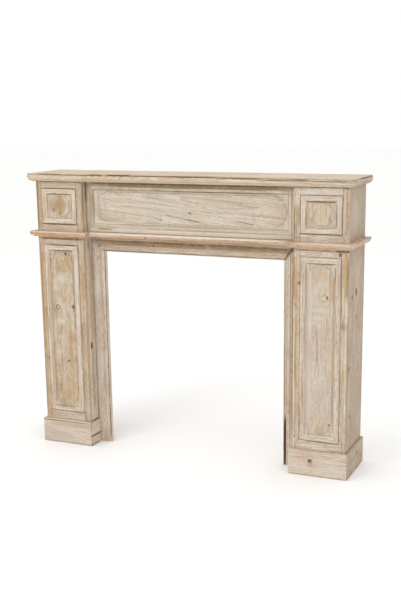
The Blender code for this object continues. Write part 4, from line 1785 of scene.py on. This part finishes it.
# Dirty quirks, worn edges and patches where the photographed boards have them, and lines of painted shadow
# under the shelf, the necking and the panel mouldings, whichever pieces they lie on: place and half size in
# millimetres, colour, strength and, where it isn't level or upright, lean.
STAINS_AND_SHADOWS: tuple[Stain, ...] = tuple(Stain(*row) for row in (
    # painted shadow under the shelf moulding, along the left block's top rail
    ((-504, -94, 1020), (109, 7, 3.4), "#6E5537", 0.9),
    ((-512, -94, 994), (82, 7, 2.5), "#75603F", 0.8),
    ((-436, -94, 973), (2.2, 7, 23), "#7A6850", 0.7),
    ((-437, -94, 910), (2, 7, 48), "#94805F", 0.45),
    # partly painted shadow under the moulding's bottom edge, partly grime in the quirk
    ((-512, -94, 861), (81, 7, 2.6), "#65513A", 0.9),
    ((-584, -94, 917), (2.1, 7, 57), "#8C6E47", 0.55),
    # partly painted shadow under the moulding's top strip, partly grime in the quirk
    ((-511, -90, 973), (58, 7, 2.6), "#654E30", 0.95),
    ((-569, -90, 928), (2.1, 7, 44), "#7E6E58", 0.75),
    ((-460, -90, 928), (2, 7, 44), "#8A775A", 0.6),
    ((-514, -90, 882), (56, 7, 1.8), "#9A8A70", 0.5),
    ((-602, -94, 937), (4, 7, 88), "#6F5335", 0.85),
    ((-588, -94, 926), (4, 7, 92), "#A58A64", 0.45),
    ((-410, -94, 927), (3.1, 7, 99), "#A08558", 0.6),
    ((-412, -68, 981), (7, 4, 41), "#5E4C3A", 0.85),
    ((-412, -60, 922), (7, 9, 98), "#A39276", 0.55),
    ((0, -62, 842), (400, 7, 7.5), "#E4DACC", 0.65),
    ((0, -61, 858), (385, 7, 6.5), "#C2AD8D", 0.5),
    ((60, -62, 851), (330, 7, 1.6), "#8F7B5E", 0.6),
    ((-330, -62, 852), (60, 7, 5), "#BCA27C", 0.5),
    ((-186, -58, 909), (16, 7, 7), "#C9BEB0", 0.4),
    ((-207, -58, 930), (73, 7, 1.7), "#A08C78", 0.6, 2.8),
    ((-249, -58, 907), (126, 7, 1.7), "#A8937E", 0.6, 5.8),
    ((-122, -58, 889), (25, 7, 2.2), "#8E7760", 0.8, 19.6),
    ((-112, -58, 920), (116, 7, 1.6), "#A9967F", 0.5, 3.9),
    ((-18, -58, 893), (77, 7, 2.2), "#958069", 0.75, 8.7),
    ((12, -58, 888), (31, 7, 2.4), "#7F6A55", 0.7, 8.5),
    ((122, -58, 907), (88, 7, 1.7), "#AB9883", 0.5, 11.7),
    ((222, -58, 886), (33, 7, 2.3), "#8A745C", 0.75, 10.6),
    ((219, -58, 918), (99, 7, 1.6), "#B09D86", 0.45, 3.2),
    ((-247, -58, 947), (93, 7, 1.6), "#B3A08A", 0.5, 1.7),
    ((198, -58, 955), (146, 7, 1.6), "#B09E88", 0.4, 0.9),
    ((277, -58, 879), (29, 7, 1.8), "#A48F76", 0.5, 6.5),
    ((10, -58, 914), (11, 7, 5.5), "#8F7A64", 0.75),
    # partly painted shadow under the frame's top strip, partly grime in the quirk, along the top of the field
    ((169, -58, 989), (234, 7, 1.7), "#6F5A42", 0.5, -0.4),
    ((-344, -58, 892), (30, 7, 22), "#B59F80", 0.6),
    ((-312, -58, 881), (45, 7, 10), "#B59F80", 0.6),
    ((-358, -58, 905), (14, 7, 22), "#B59F80", 0.6),
    ((-360, -58, 928), (12, 7, 26), "#B59F80", 0.6),
    ((351, -58, 901), (24, 7, 24), "#B9A488", 0.45),
    ((331, -58, 886), (34, 7, 12), "#B9A488", 0.45),
    ((361, -58, 927), (14, 7, 34), "#B9A488", 0.45),
    ((346, -58, 948), (22, 7, 30), "#B9A488", 0.45),
    ((-377, -56, 976), (9, 7, 16), "#DDD6C9", 0.7),
    ((-380, -56, 878), (9, 7, 16), "#DDD6C9", 0.7),
    ((-323, -56, 869), (80, 7, 5), "#DDD6C9", 0.7),
    ((371, -56, 982), (9, 7, 16), "#DDD6C9", 0.7),
    ((372, -56, 882), (9, 7, 16), "#DDD6C9", 0.7),
    ((-372, -56, 948), (6, 7, 18), "#DDD6C9", 0.7),
    # the frame's top flat darkened: partly painted shadow of the shelf, partly olive-brown dirt
    ((2, -64, 1009), (440, 7, 9.5), "#86724F", 0.85),
    ((6, -64, 1015), (436, 7, 3.2), "#6B5638", 0.8),
    # dark line along the top of the field: partly painted shadow under the frame's top strip, partly grime in the
    # quirk
    ((-265, -58, 990), (132, 7, 2.1), "#806E50", 0.7),
    ((116, -58, 990), (295, 7, 2.3), "#75634A", 0.8),
    ((-384, -58, 923), (2.1, 7, 69), "#84704F", 0.7),
    ((-392, -64, 927), (5, 7, 68), "#AA8862", 0.6),
    ((-374, -56, 920), (6, 7, 64), "#D4CDBE", 0.6),
    ((-335, -64, 846), (33, 7, 2.9), "#85785F", 0.8),
    ((-87, -60, 864), (218, 7, 2), "#A08C6C", 0.5),
    ((244, -60, 865), (153, 7, 2), "#A08C6C", 0.35),
    ((-390, -64, 844), (7, 7, 5), "#D6D0C4", 0.7),
    ((-377, -58, 937), (6, 7, 6), "#9C8767", 0.45),
    ((-378, -58, 921), (6, 7, 6), "#9C8767", 0.45),
    ((-375, -58, 906), (6, 7, 6), "#9C8767", 0.45),
    ((-368, -58, 893), (6, 7, 6), "#9C8767", 0.45),
    ((-359, -58, 882), (6, 7, 6), "#9C8767", 0.45),
    ((395, -64, 918), (2.3, 7, 78), "#94816A", 0.6),
    ((380, -58, 930), (1.8, 7, 61), "#A4927A", 0.5),
    ((-626, -112, 1039), (6, 7, 8), "#7A6850", 0.7),
    ((-623, -116, 826), (8, 7, 5), "#77706A", 0.75),
    ((-581, -94, 843), (16, 7, 4), "#DBD8D1", 0.7),
    ((-502, -113, 820), (127, 7, 7), "#BD925C", 0.45),
    ((-491, -116, 832), (126, 7, 3.1), "#E0C8B4", 0.7),
    ((-564, -116, 825), (64, 7, 3.6), "#B58745", 0.85),
    ((-447, -116, 826), (67, 7, 3.6), "#C09770", 0.6),
    ((-507, -104, 814), (117, 7, 3.5), "#A47A52", 0.7),
    # painted shadow under the left necking, on the pilaster's top rail
    ((-506, -94, 806), (109, 7, 4.2), "#76552F", 0.9),
    ((-609, -112, 816), (12, 7, 2.6), "#5F4E3C", 0.8),
    ((-380, -88, 831), (6, 7, 3), "#F0E2CF", 0.8),
    ((0, -87, 832), (385, 8, 5), "#E2D7C8", 0.85),
    ((-330, -87, 827), (70, 8, 4), "#DACDBC", 0.5),
    ((15, -88, 820), (412, 7, 3.9), "#B79878", 0.5),
    ((11, -78, 813), (413, 7, 4), "#947552", 0.75),
    # these two: the lintel's outer band darkened, painted shadow under the middle necking
    ((-4, -32, 797), (436, 7, 5.5), "#7A5C34", 0.9),
    ((-4, -32, 788), (437, 7, 5), "#8A6E45", 0.75),
    ((-245, -28, 760), (132, 7, 2.6), "#5F4F3C", 0.85),
    ((114, -28, 761), (270, 7, 2.3), "#6F5F48", 0.7),
    ((-386, -32, 776), (6, 7, 8), "#7A5E40", 0.6),
    ((-368, -28, 764), (8.2, 7, 3.2), "#6A553A", 0.7),
    ((-218, -28, 770), (6, 7, 2), "#6A5238", 0.8),
    ((388, -32, 800), (6.5, 7, 6.5), "#5A3D1F", 1),
    ((383, -32, 794), (7.2, 7, 7.2), "#5A3D1F", 1),
    ((378, -32, 786), (6.5, 7, 6.5), "#5A3D1F", 1),
    ((372, -30, 779), (6.1, 7, 6.1), "#5A3D1F", 1),
    ((368, -29, 773), (5.8, 7, 5.8), "#5A3D1F", 1),
    ((364, -28, 767), (5, 7, 5), "#5A3D1F", 1),
    ((360, -28, 761), (4.7, 7, 4.7), "#5A3D1F", 1),
    ((356, -26, 756), (4, 7, 4), "#5A3D1F", 1),
    ((-518, -92, 932), (44, 7, 36), "#A18160", 0.9),
    ((-546, -92, 931), (10, 7, 38), "#A88871", 0.5),
    ((-507, -92, 932), (10, 7, 42), "#A98D5F", 0.8),
    ((-483, -92, 937), (7, 7, 21), "#B4917B", 0.7),
    ((-471, -92, 933), (5, 7, 12), "#9C7B62", 0.7),
    ((-509, -92, 901), (12, 7, 5), "#94785A", 0.8),
    ((-527, -92, 943), (5, 7, 17), "#BDA07F", 0.6),
    ((-573, -98, 920), (5, 7, 50), "#C2A37C", 0.5),
    ((-506, -98, 984), (63, 7, 5), "#C3B58F", 0.6),
    ((-503, -94, 1001), (72, 7, 6), "#C4A48F", 0.4),
    ((-511, -94, 846), (78, 7, 5), "#B5A68E", 0.45),
    ((-593, -94, 589), (8, 7, 226), "#B68F69", 0.45),
    ((-598, -94, 251), (7, 7, 153), "#B09470", 0.5),
    ((-492, -94, 782), (58, 7, 2.6), "#7C6947", 0.85),
    ((-438, -94, 768), (2.9, 7, 10), "#7C6947", 0.75),
    ((-435, -94, 683), (2.2, 7, 85), "#8A775C", 0.55),
    ((-433, -94, 384), (2, 7, 249), "#94805F", 0.4),
    # partly painted shadow under the moulding's top strip, partly grime in the quirk
    ((-514, -90, 760), (59, 7, 2.3), "#746347", 0.85),
    ((-569, -90, 663), (2.3, 7, 108), "#846B45", 0.65),
    ((-571, -90, 358), (2.3, 7, 234), "#8A7250", 0.6),
    ((-446, -98, 641), (3.9, 7, 116), "#DDD1C4", 0.6),
    ((-601, -94, 592), (3.1, 7, 230), "#84694A", 0.7),
    ((-604, -94, 250), (3.1, 7, 153), "#8A7553", 0.65),
    ((-575, -94, 647), (2.6, 7, 24), "#7B5630", 0.75),
    ((-508, -92, 698), (44, 7, 46), "#AE9068", 0.55),
    ((-472, -92, 719), (11, 7, 26), "#AC825A", 0.5),
    ((-515, -92, 660), (24, 7, 30), "#CFC2AE", 0.5),
    ((-509, -92, 733), (12, 7, 9), "#CBBDA6", 0.5),
    ((-541, -92, 623), (13, 7, 34), "#D2C7B4", 0.4),
    ((-557, -92, 450), (11, 7, 46), "#D4CABA", 0.4),
    ((-544, -92, 363), (15, 7, 34), "#D4CABB", 0.45),
    ((-509, -92, 567), (15, 7, 20), "#AC8D67", 0.5),
    ((-545, -92, 210), (24, 7, 16), "#AA8B66", 0.5),
    ((-489, -92, 435), (9, 7, 36), "#AD8F66", 0.45),
    ((-567, -98, 452), (6, 7, 338), "#B39A78", 0.6),
    ((-557, -90, 736), (5, 7, 9), "#D6CBB9", 0.6),
    ((-495, -92, 513), (4, 7, 26), "#A68A5E", 0.6),
    ((-482, -92, 327), (7, 7, 179), "#B39468", 0.55),
    ((-441, -98, 465), (3.9, 7, 72), "#CBB9A6", 0.5),
    ((-499, -92, 331), (4, 7, 5), "#5A442C", 0.85),
    ((-420, -94, 650), (5, 7, 81), "#A98E5C", 0.55),
    ((-420, -94, 380), (6, 7, 221), "#B39A78", 0.4),
    ((-524, -90, 147), (51, 7, 2.6), "#766654", 0.9),
    ((-513, -94, 129), (86, 7, 2.3), "#7F6F5E", 0.8),
    ((-538, -94, 116), (69, 7, 2.1), "#A09280", 0.5),
    ((-435, -94, 132), (5, 7, 2.2), "#7C6A55", 0.7),
    ((-412, -49, 597), (7, 16, 205), "#A48765", 0.5),
    ((-412, -58, 284), (7, 13, 146), "#9A7C5C", 0.5),
    ((-412, -75, 512), (7, 10, 27), "#C2A088", 0.6),
    ((-412, -59, 782), (7, 14, 22), "#8A7258", 0.6),
    ((-395, -32, 666), (5, 7, 110), "#D3CDBF", 0.75),
    ((-389, -32, 359), (5, 7, 212), "#CFC1B5", 0.55),
    ((-360, -28, 642), (2.5, 7, 125), "#6B5C46", 0.85),
    ((-361, -28, 340), (2.5, 7, 213), "#6B5C42", 0.8),
    ((-360, -28, 82), (2.9, 7, 76), "#6E5233", 0.85),
    ((-376, -31, 392), (1.8, 7, 388), "#A99C86", 0.6),
    ((-380, -28, 374), (8, 7, 14), "#AE9272", 0.6),
    ((-376, -31, 734), (2.6, 7, 21), "#7F7260", 0.6),
    ((-392, -32, 726), (2.6, 7, 21), "#8A7E6C", 0.5),
    # pale line on the plinth's top arris: partly chalk left on it, partly a painted highlight
    ((-508, -106, 96), (106, 7, 2.9), "#EADBC6", 0.8),
    ((-510, -106, 89), (114, 7, 2.5), "#80674A", 0.85),
    ((-495, -106, 76), (96, 7, 9), "#B9967A", 0.6),
    ((-546, -106, 33), (64, 7, 22), "#B4AAA1", 0.55),
    ((-584, -106, 20), (18, 7, 9), "#C6C0B4", 0.5),
    ((-512, -106, 3), (117, 7, 2.3), "#8A8070", 0.7),
    # painted shadow where the plinth's top meets the leg's inner board
    ((-412, -58, 92), (7, 33, 4.2), "#6B563C", 0.85),
    ((-402, -70, 39), (7, 44, 3.9), "#5F482C", 0.9),
    ((-402, -79, 5), (7, 33, 2.9), "#6B5A44", 0.8),
    ((-409, -94, 141), (2.9, 7, 48), "#7B684C", 0.7),
    # these two: painted shadow under the shelf moulding, along the right block's top rail
    ((501, -94, 1019), (99, 7, 3.1), "#7C6647", 0.85),
    ((598, -94, 1017), (13, 7, 3.9), "#5E4322", 0.95),
    ((599, -94, 929), (6.5, 7, 93), "#A5825E", 0.5),
    ((609, -94, 923), (2.6, 7, 100), "#80663A", 0.8),
    ((505, -94, 991), (80, 7, 2), "#978871", 0.55),
    ((505, -94, 1004), (84, 7, 5), "#E3D8C8", 0.35),
    ((584, -94, 977), (2.6, 7, 13), "#7B6C58", 0.8),
    ((582, -94, 919), (2.1, 7, 52), "#96876E", 0.5),
    ((435, -94, 938), (2.3, 7, 53), "#957F60", 0.65),
    # partly painted shadow under the moulding's bottom edge, partly grime in the quirk
    ((510, -94, 861), (84, 7, 2.7), "#7C6650", 0.9),
    # partly painted shadow under the moulding's top strip, partly grime in the quirk
    ((506, -90, 970), (58, 7, 2.9), "#6E5C45", 0.9),
    ((562, -90, 928), (2.7, 7, 45), "#82704F", 0.85),
    ((454, -90, 921), (2.5, 7, 41), "#88765A", 0.75),
    ((505, -90, 880), (53, 7, 2.1), "#94855F", 0.6),
    ((475, -90, 912), (6, 7, 7), "#95835C", 0.7),
    ((486, -92, 930), (6, 7, 16), "#BF9066", 0.7),
    ((487, -92, 903), (5, 7, 6), "#A0865A", 0.6),
    ((498, -90, 955), (1.7, 7, 13), "#A08E6E", 0.6),
    ((514, -92, 924), (9, 7, 37), "#C0B187", 0.6),
    ((549, -92, 925), (10, 7, 37), "#CDB3A2", 0.5),
    ((415, -94, 902), (2.5, 7, 59), "#7F6E52", 0.75),
    ((426, -94, 918), (5.5, 7, 42), "#9A8760", 0.6),
    ((423, -94, 847), (14, 7, 3.9), "#85785F", 0.7),
    ((465, -94, 845), (2.1, 7, 11), "#978468", 0.6),
    ((521, -113, 821), (101, 7, 7), "#A98460", 0.35),
    ((422, -94, 453), (7, 7, 348), "#A58864", 0.35),
    ((522, -116, 832), (105, 7, 3.1), "#DFCAB9", 0.6),
    ((528, -116, 824), (80, 7, 4.2), "#CDAE82", 0.7),
    ((437, -116, 820), (3, 7, 4), "#7B6044", 0.75),
    # these two: painted shadow under the right necking, on the pilaster's top rail
    ((488, -94, 806), (83, 7, 3.4), "#8E7252", 0.85),
    ((585, -94, 806), (30, 7, 4.2), "#6B4B28", 0.95),
    ((630, -14, 830), (7, 6, 5), "#6F5236", 0.8),
    # partly painted shadow under the moulding's top strip, partly grime in the quirk
    ((509, -90, 760), (59, 7, 2.5), "#7F6F58", 0.85),
    ((550, -98, 772), (23, 7, 2.1), "#9A8A70", 0.6),
    ((456, -90, 674), (2.2, 7, 86), "#9A866A", 0.6),
    ((453, -90, 491), (2.5, 7, 120), "#8C7855", 0.75),
    ((450, -90, 266), (2.5, 7, 132), "#927B58", 0.75),
    ((561, -90, 726), (2.6, 7, 34), "#846E50", 0.8),
    ((558, -90, 490), (2, 7, 230), "#A6967C", 0.45),
    ((581, -94, 714), (2.9, 7, 65), "#8F7A60", 0.6),
    ((578, -94, 396), (2, 7, 291), "#B09A7C", 0.45),
    ((598, -94, 721), (6, 7, 88), "#B8935C", 0.65),
    ((602, -94, 395), (1.8, 7, 279), "#E8D6BC", 0.6),
    ((607, -96, 709), (7, 4, 73), "#8D7547", 0.8),
    ((607, -88, 367), (7, 5, 309), "#8B7750", 0.8),
    ((423, -94, 705), (6, 7, 82), "#B8945F", 0.55),
    ((439, -94, 720), (6, 7, 50), "#B88F66", 0.5),
    ((414, -94, 697), (2.9, 7, 74), "#87694A", 0.7),
    ((416, -94, 368), (1.6, 7, 275), "#E8D6BF", 0.6),
    ((422, -94, 417), (2.2, 7, 121), "#957A54", 0.65),
    ((420, -94, 140), (3, 7, 8), "#5C4228", 0.9),
    ((513, -92, 710), (38, 7, 38), "#BC9E78", 0.6),
    ((516, -92, 691), (27, 7, 31), "#D2C8BA", 0.6),
    ((543, -92, 708), (3.9, 7, 30), "#9B8264", 0.4),
    ((509, -90, 746), (36, 7, 4), "#BDA078", 0.5),
    ((550, -92, 674), (9, 7, 40), "#BF9A70", 0.5),
    ((535, -92, 645), (4.5, 7, 8.5), "#463320", 1.3),
    ((519, -92, 643), (8.5, 7, 9.5), "#DBD1C8", 1.1),
    ((543, -92, 636), (6, 7, 9), "#B98B66", 0.6),
    ((578, -94, 792), (4, 7, 6), "#5C4026", 0.5),
    ((517, -92, 611), (9, 7, 127), "#C4B189", 0.4),
    ((471, -92, 613), (10, 7, 133), "#CFC4B6", 0.5),
    ((466, -92, 330), (12, 7, 163), "#CDBDB0", 0.5),
    ((510, -90, 170), (14, 7, 22), "#B59768", 0.65),
    ((441, -98, 128), (15, 7, 3.4), "#6E5A48", 0.85),
    ((517, -94, 126), (72, 7, 2.6), "#7F6D58", 0.9),
    ((505, -90, 144), (52, 7, 2.1), "#94826A", 0.7),
    ((515, -94, 117), (103, 7, 2.1), "#9E8E78", 0.55),
    ((578, -94, 99), (36, 7, 2.6), "#94836C", 0.7),
    ((360, -28, 465), (2.9, 7, 320), "#8B7B60", 0.65),
    ((363, -28, 88), (4.6, 7, 98), "#4A3320", 1.7),
    ((380, -32, 445), (2.3, 7, 345), "#8F7852", 0.7),
    ((389, -32, 427), (3.9, 7, 366), "#957A4E", 0.75),
    ((368, -29, 424), (2, 7, 367), "#A58F6C", 0.55),
    ((-459, -90, 757), (9, 7, 14), "#D8CDBA", 0.65),
    ((-560, -90, 757), (9, 7, 14), "#D8CDBA", 0.65),
    ((-459, -90, 155), (9, 7, 14), "#D8CDBA", 0.65),
    ((-560, -90, 155), (9, 7, 14), "#D8CDBA", 0.65),
    ((-458, -90, 450), (3.5, 7, 300), "#D8CDBA", 0.4),
    ((459, -90, 757), (9, 7, 14), "#DAD0C2", 0.65),
    ((560, -90, 757), (9, 7, 14), "#DAD0C2", 0.65),
    ((459, -90, 155), (9, 7, 14), "#DAD0C2", 0.65),
    ((560, -90, 155), (9, 7, 14), "#DAD0C2", 0.65),
    ((458, -90, 450), (3.5, 7, 300), "#DAD0C2", 0.4),
    ((-484, -90, 709), (9, 7, 41), "#B08D62", 0.7, -24.3),
    ((-530, -90, 696), (28, 7, 7), "#AB8B63", 0.6, -19.4),
    ((-480, -90, 580), (8, 7, 32), "#B29068", 0.5),
    ((-496, -90, 509), (6, 7, 25), "#A88861", 0.55, -13.7),
    ((-488, -90, 396), (9, 7, 75), "#B0906A", 0.55),
    ((-523, -90, 490), (22, 7, 20), "#D6CDC0", 0.6),
    ((-532, -90, 426), (20, 7, 14), "#D3C9BC", 0.5),
    ((-537, -90, 367), (20, 7, 16), "#D6CDC1", 0.5),
    ((-525, -90, 654), (20, 7, 18), "#D5CCBC", 0.5),
    ((-515, -90, 200), (26, 7, 26), "#B08F66", 0.45),
    ((-561, -90, 160), (6, 7, 12), "#D5CBBB", 0.6),
    ((517, -90, 713), (22, 7, 34), "#C7B596", 0.5),
    ((530, -90, 670), (10, 7, 24), "#BFA983", 0.4),
    ((533, -90, 474), (22, 7, 26), "#C3AC8B", 0.5),
    ((521, -90, 251), (18, 7, 60), "#C6B292", 0.4),
    ((550, -90, 540), (7, 7, 26), "#C9AA8A", 0.5),
    ((557, -90, 392), (8, 7, 70), "#C7B292", 0.4),
    ((501, -90, 600), (30, 7, 12), "#D9D0C3", 0.5),
    ((486, -90, 170), (8, 7, 16), "#DDD5C8", 0.5),
    ((-515, -90, 651), (26, 7, 24), "#D6CDBE", 0.5),
    ((-529, -90, 557), (20, 7, 26), "#D4CBBC", 0.5),
    ((-514, -90, 421), (22, 7, 40), "#D0C4B2", 0.4),
    ((-509, -90, 686), (30, 7, 7), "#AF9470", 0.45),
    ((-522, -90, 601), (24, 7, 6), "#B0977A", 0.45),
    ((-518, -90, 499), (26, 7, 7), "#B29773", 0.4),
    ((-512, -90, 192), (30, 7, 42), "#B2956D", 0.5),
    ((-496, -90, 234), (12, 7, 60), "#AD8E63", 0.35),
    ((517, -90, 167), (20, 7, 44), "#B99F79", 0.5),
    ((499, -90, 139), (8, 7, 30), "#B19670", 0.4),
    ((501, -90, 573), (26, 7, 9), "#D9CFC2", 0.6),
    ((509, -90, 531), (30, 7, 6), "#BFAE96", 0.4),
    ((501, -90, 559), (24, 7, 5), "#C2B29C", 0.4),
    ((-600, -94, 925), (10, 7, 90), "#A08769", 0.5),
    ((-599, -94, 560), (7, 7, 190), "#AE8257", 0.4),
    ((-596, -94, 220), (6, 7, 100), "#A9855C", 0.35),
    ((-580, -90, 642), (1.8, 7, 23), "#6E5233", 0.8, 0.1),
    ((-588, -90, 585), (1.5, 7, 13), "#7F6140", 0.6, -4.8),
    ((-508, -118, 808), (117, 7, 6), "#A98250", 0.25),
    ((607, -20, 925), (7, 75, 75), "#D2C6B4", 0.35),
    ((628, 0, 1042), (9, 115, 9), "#CFC1AD", 0.3),
    ((378, -28, 501), (4, 7, 282), "#DCCBB2", 0.35),
    ((-525, -106, 47), (100, 7, 47), "#C5B4A1", 0.3),
    ((507, -106, 2), (118, 7, 2.3), "#8A8070", 0.7),
    ((512, -106, 90), (90, 7, 5), "#C9AE92", 0.5),
    ((565, -106, 34), (30, 7, 16), "#CFC8BA", 0.6),
    ((607, 37, 77), (7, 85, 4.2), "#84714F", 0.7),
    ((607, -40, 923), (7, 9, 78), "#B0937A", 0.4),
    ((607, -69, 924), (7, 6, 90), "#AE9C74", 0.45),
    ((607, 58, 928), (7, 14, 82), "#ABA482", 0.6),
    ((607, 111, 556), (7, 5, 502), "#8F897C", 0.65),
    ((607, -32, 618), (7, 10, 165), "#AE9272", 0.5),
    ((617, 6, 3), (7, 101, 3.4), "#6F604A", 0.8),
    ((617, -67, 83), (7, 9, 66), "#A98B70", 0.4),
    ((630, 27, 1046), (7, 83, 3.1), "#7A6444", 0.7),
    ((-524, -118, 1047), (53, 7, 2.7), "#4E3D28", 0.6),
    ((-422, -118, 1046), (61, 7, 2.7), "#4E3D28", 0.5),
    ((-339, -118, 1047), (32, 7, 2.7), "#4E3D28", 0.95),
    ((-242, -118, 1047), (57, 7, 2.7), "#4E3D28", 0.95),
    ((-123, -118, 1046), (78, 7, 2.7), "#4E3D28", 0.7),
    ((-7, -118, 1046), (52, 7, 2.7), "#4E3D28", 0.95),
    ((79, -118, 1046), (61, 7, 2.7), "#4E3D28", 0.85),
    ((220, -118, 1044), (96, 7, 2.7), "#4E3D28", 0.75),
    ((391, -118, 1041), (95, 7, 2.7), "#4E3D28", 0.7),
    ((547, -118, 1039), (80, 7, 2.7), "#4E3D28", 0.6),
    ((-594, -105, 1024), (15, 7, 3.1), "#8A7658", 0.7),
    # painted shadow under the shelf moulding right across, then painted shade on the lower half of its front ovolo
    ((8, -98, 1022), (454, 7, 3.4), "#7D6848", 0.75),
    ((11, -110, 1029), (679, 7, 3.5), "#B39C7C", 0.5),
    ((620, -7, 1032), (7, 59, 4), "#85725A", 0.7),
))


def main() -> None:
    """Builds every sub-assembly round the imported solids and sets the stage."""
    logging.basicConfig(level=logging.INFO, format="%(name)s: %(message)s")
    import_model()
    Shelf(KNOTS, STAINS_AND_SHADOWS).build()
    for side in Side:
        Leg(KNOTS, STAINS_AND_SHADOWS, side).build()
    Frieze(KNOTS, STAINS_AND_SHADOWS).build()
    OpeningSurround(KNOTS, STAINS_AND_SHADOWS).build()
    Studio().build()


if __name__ == "__main__":
    main()
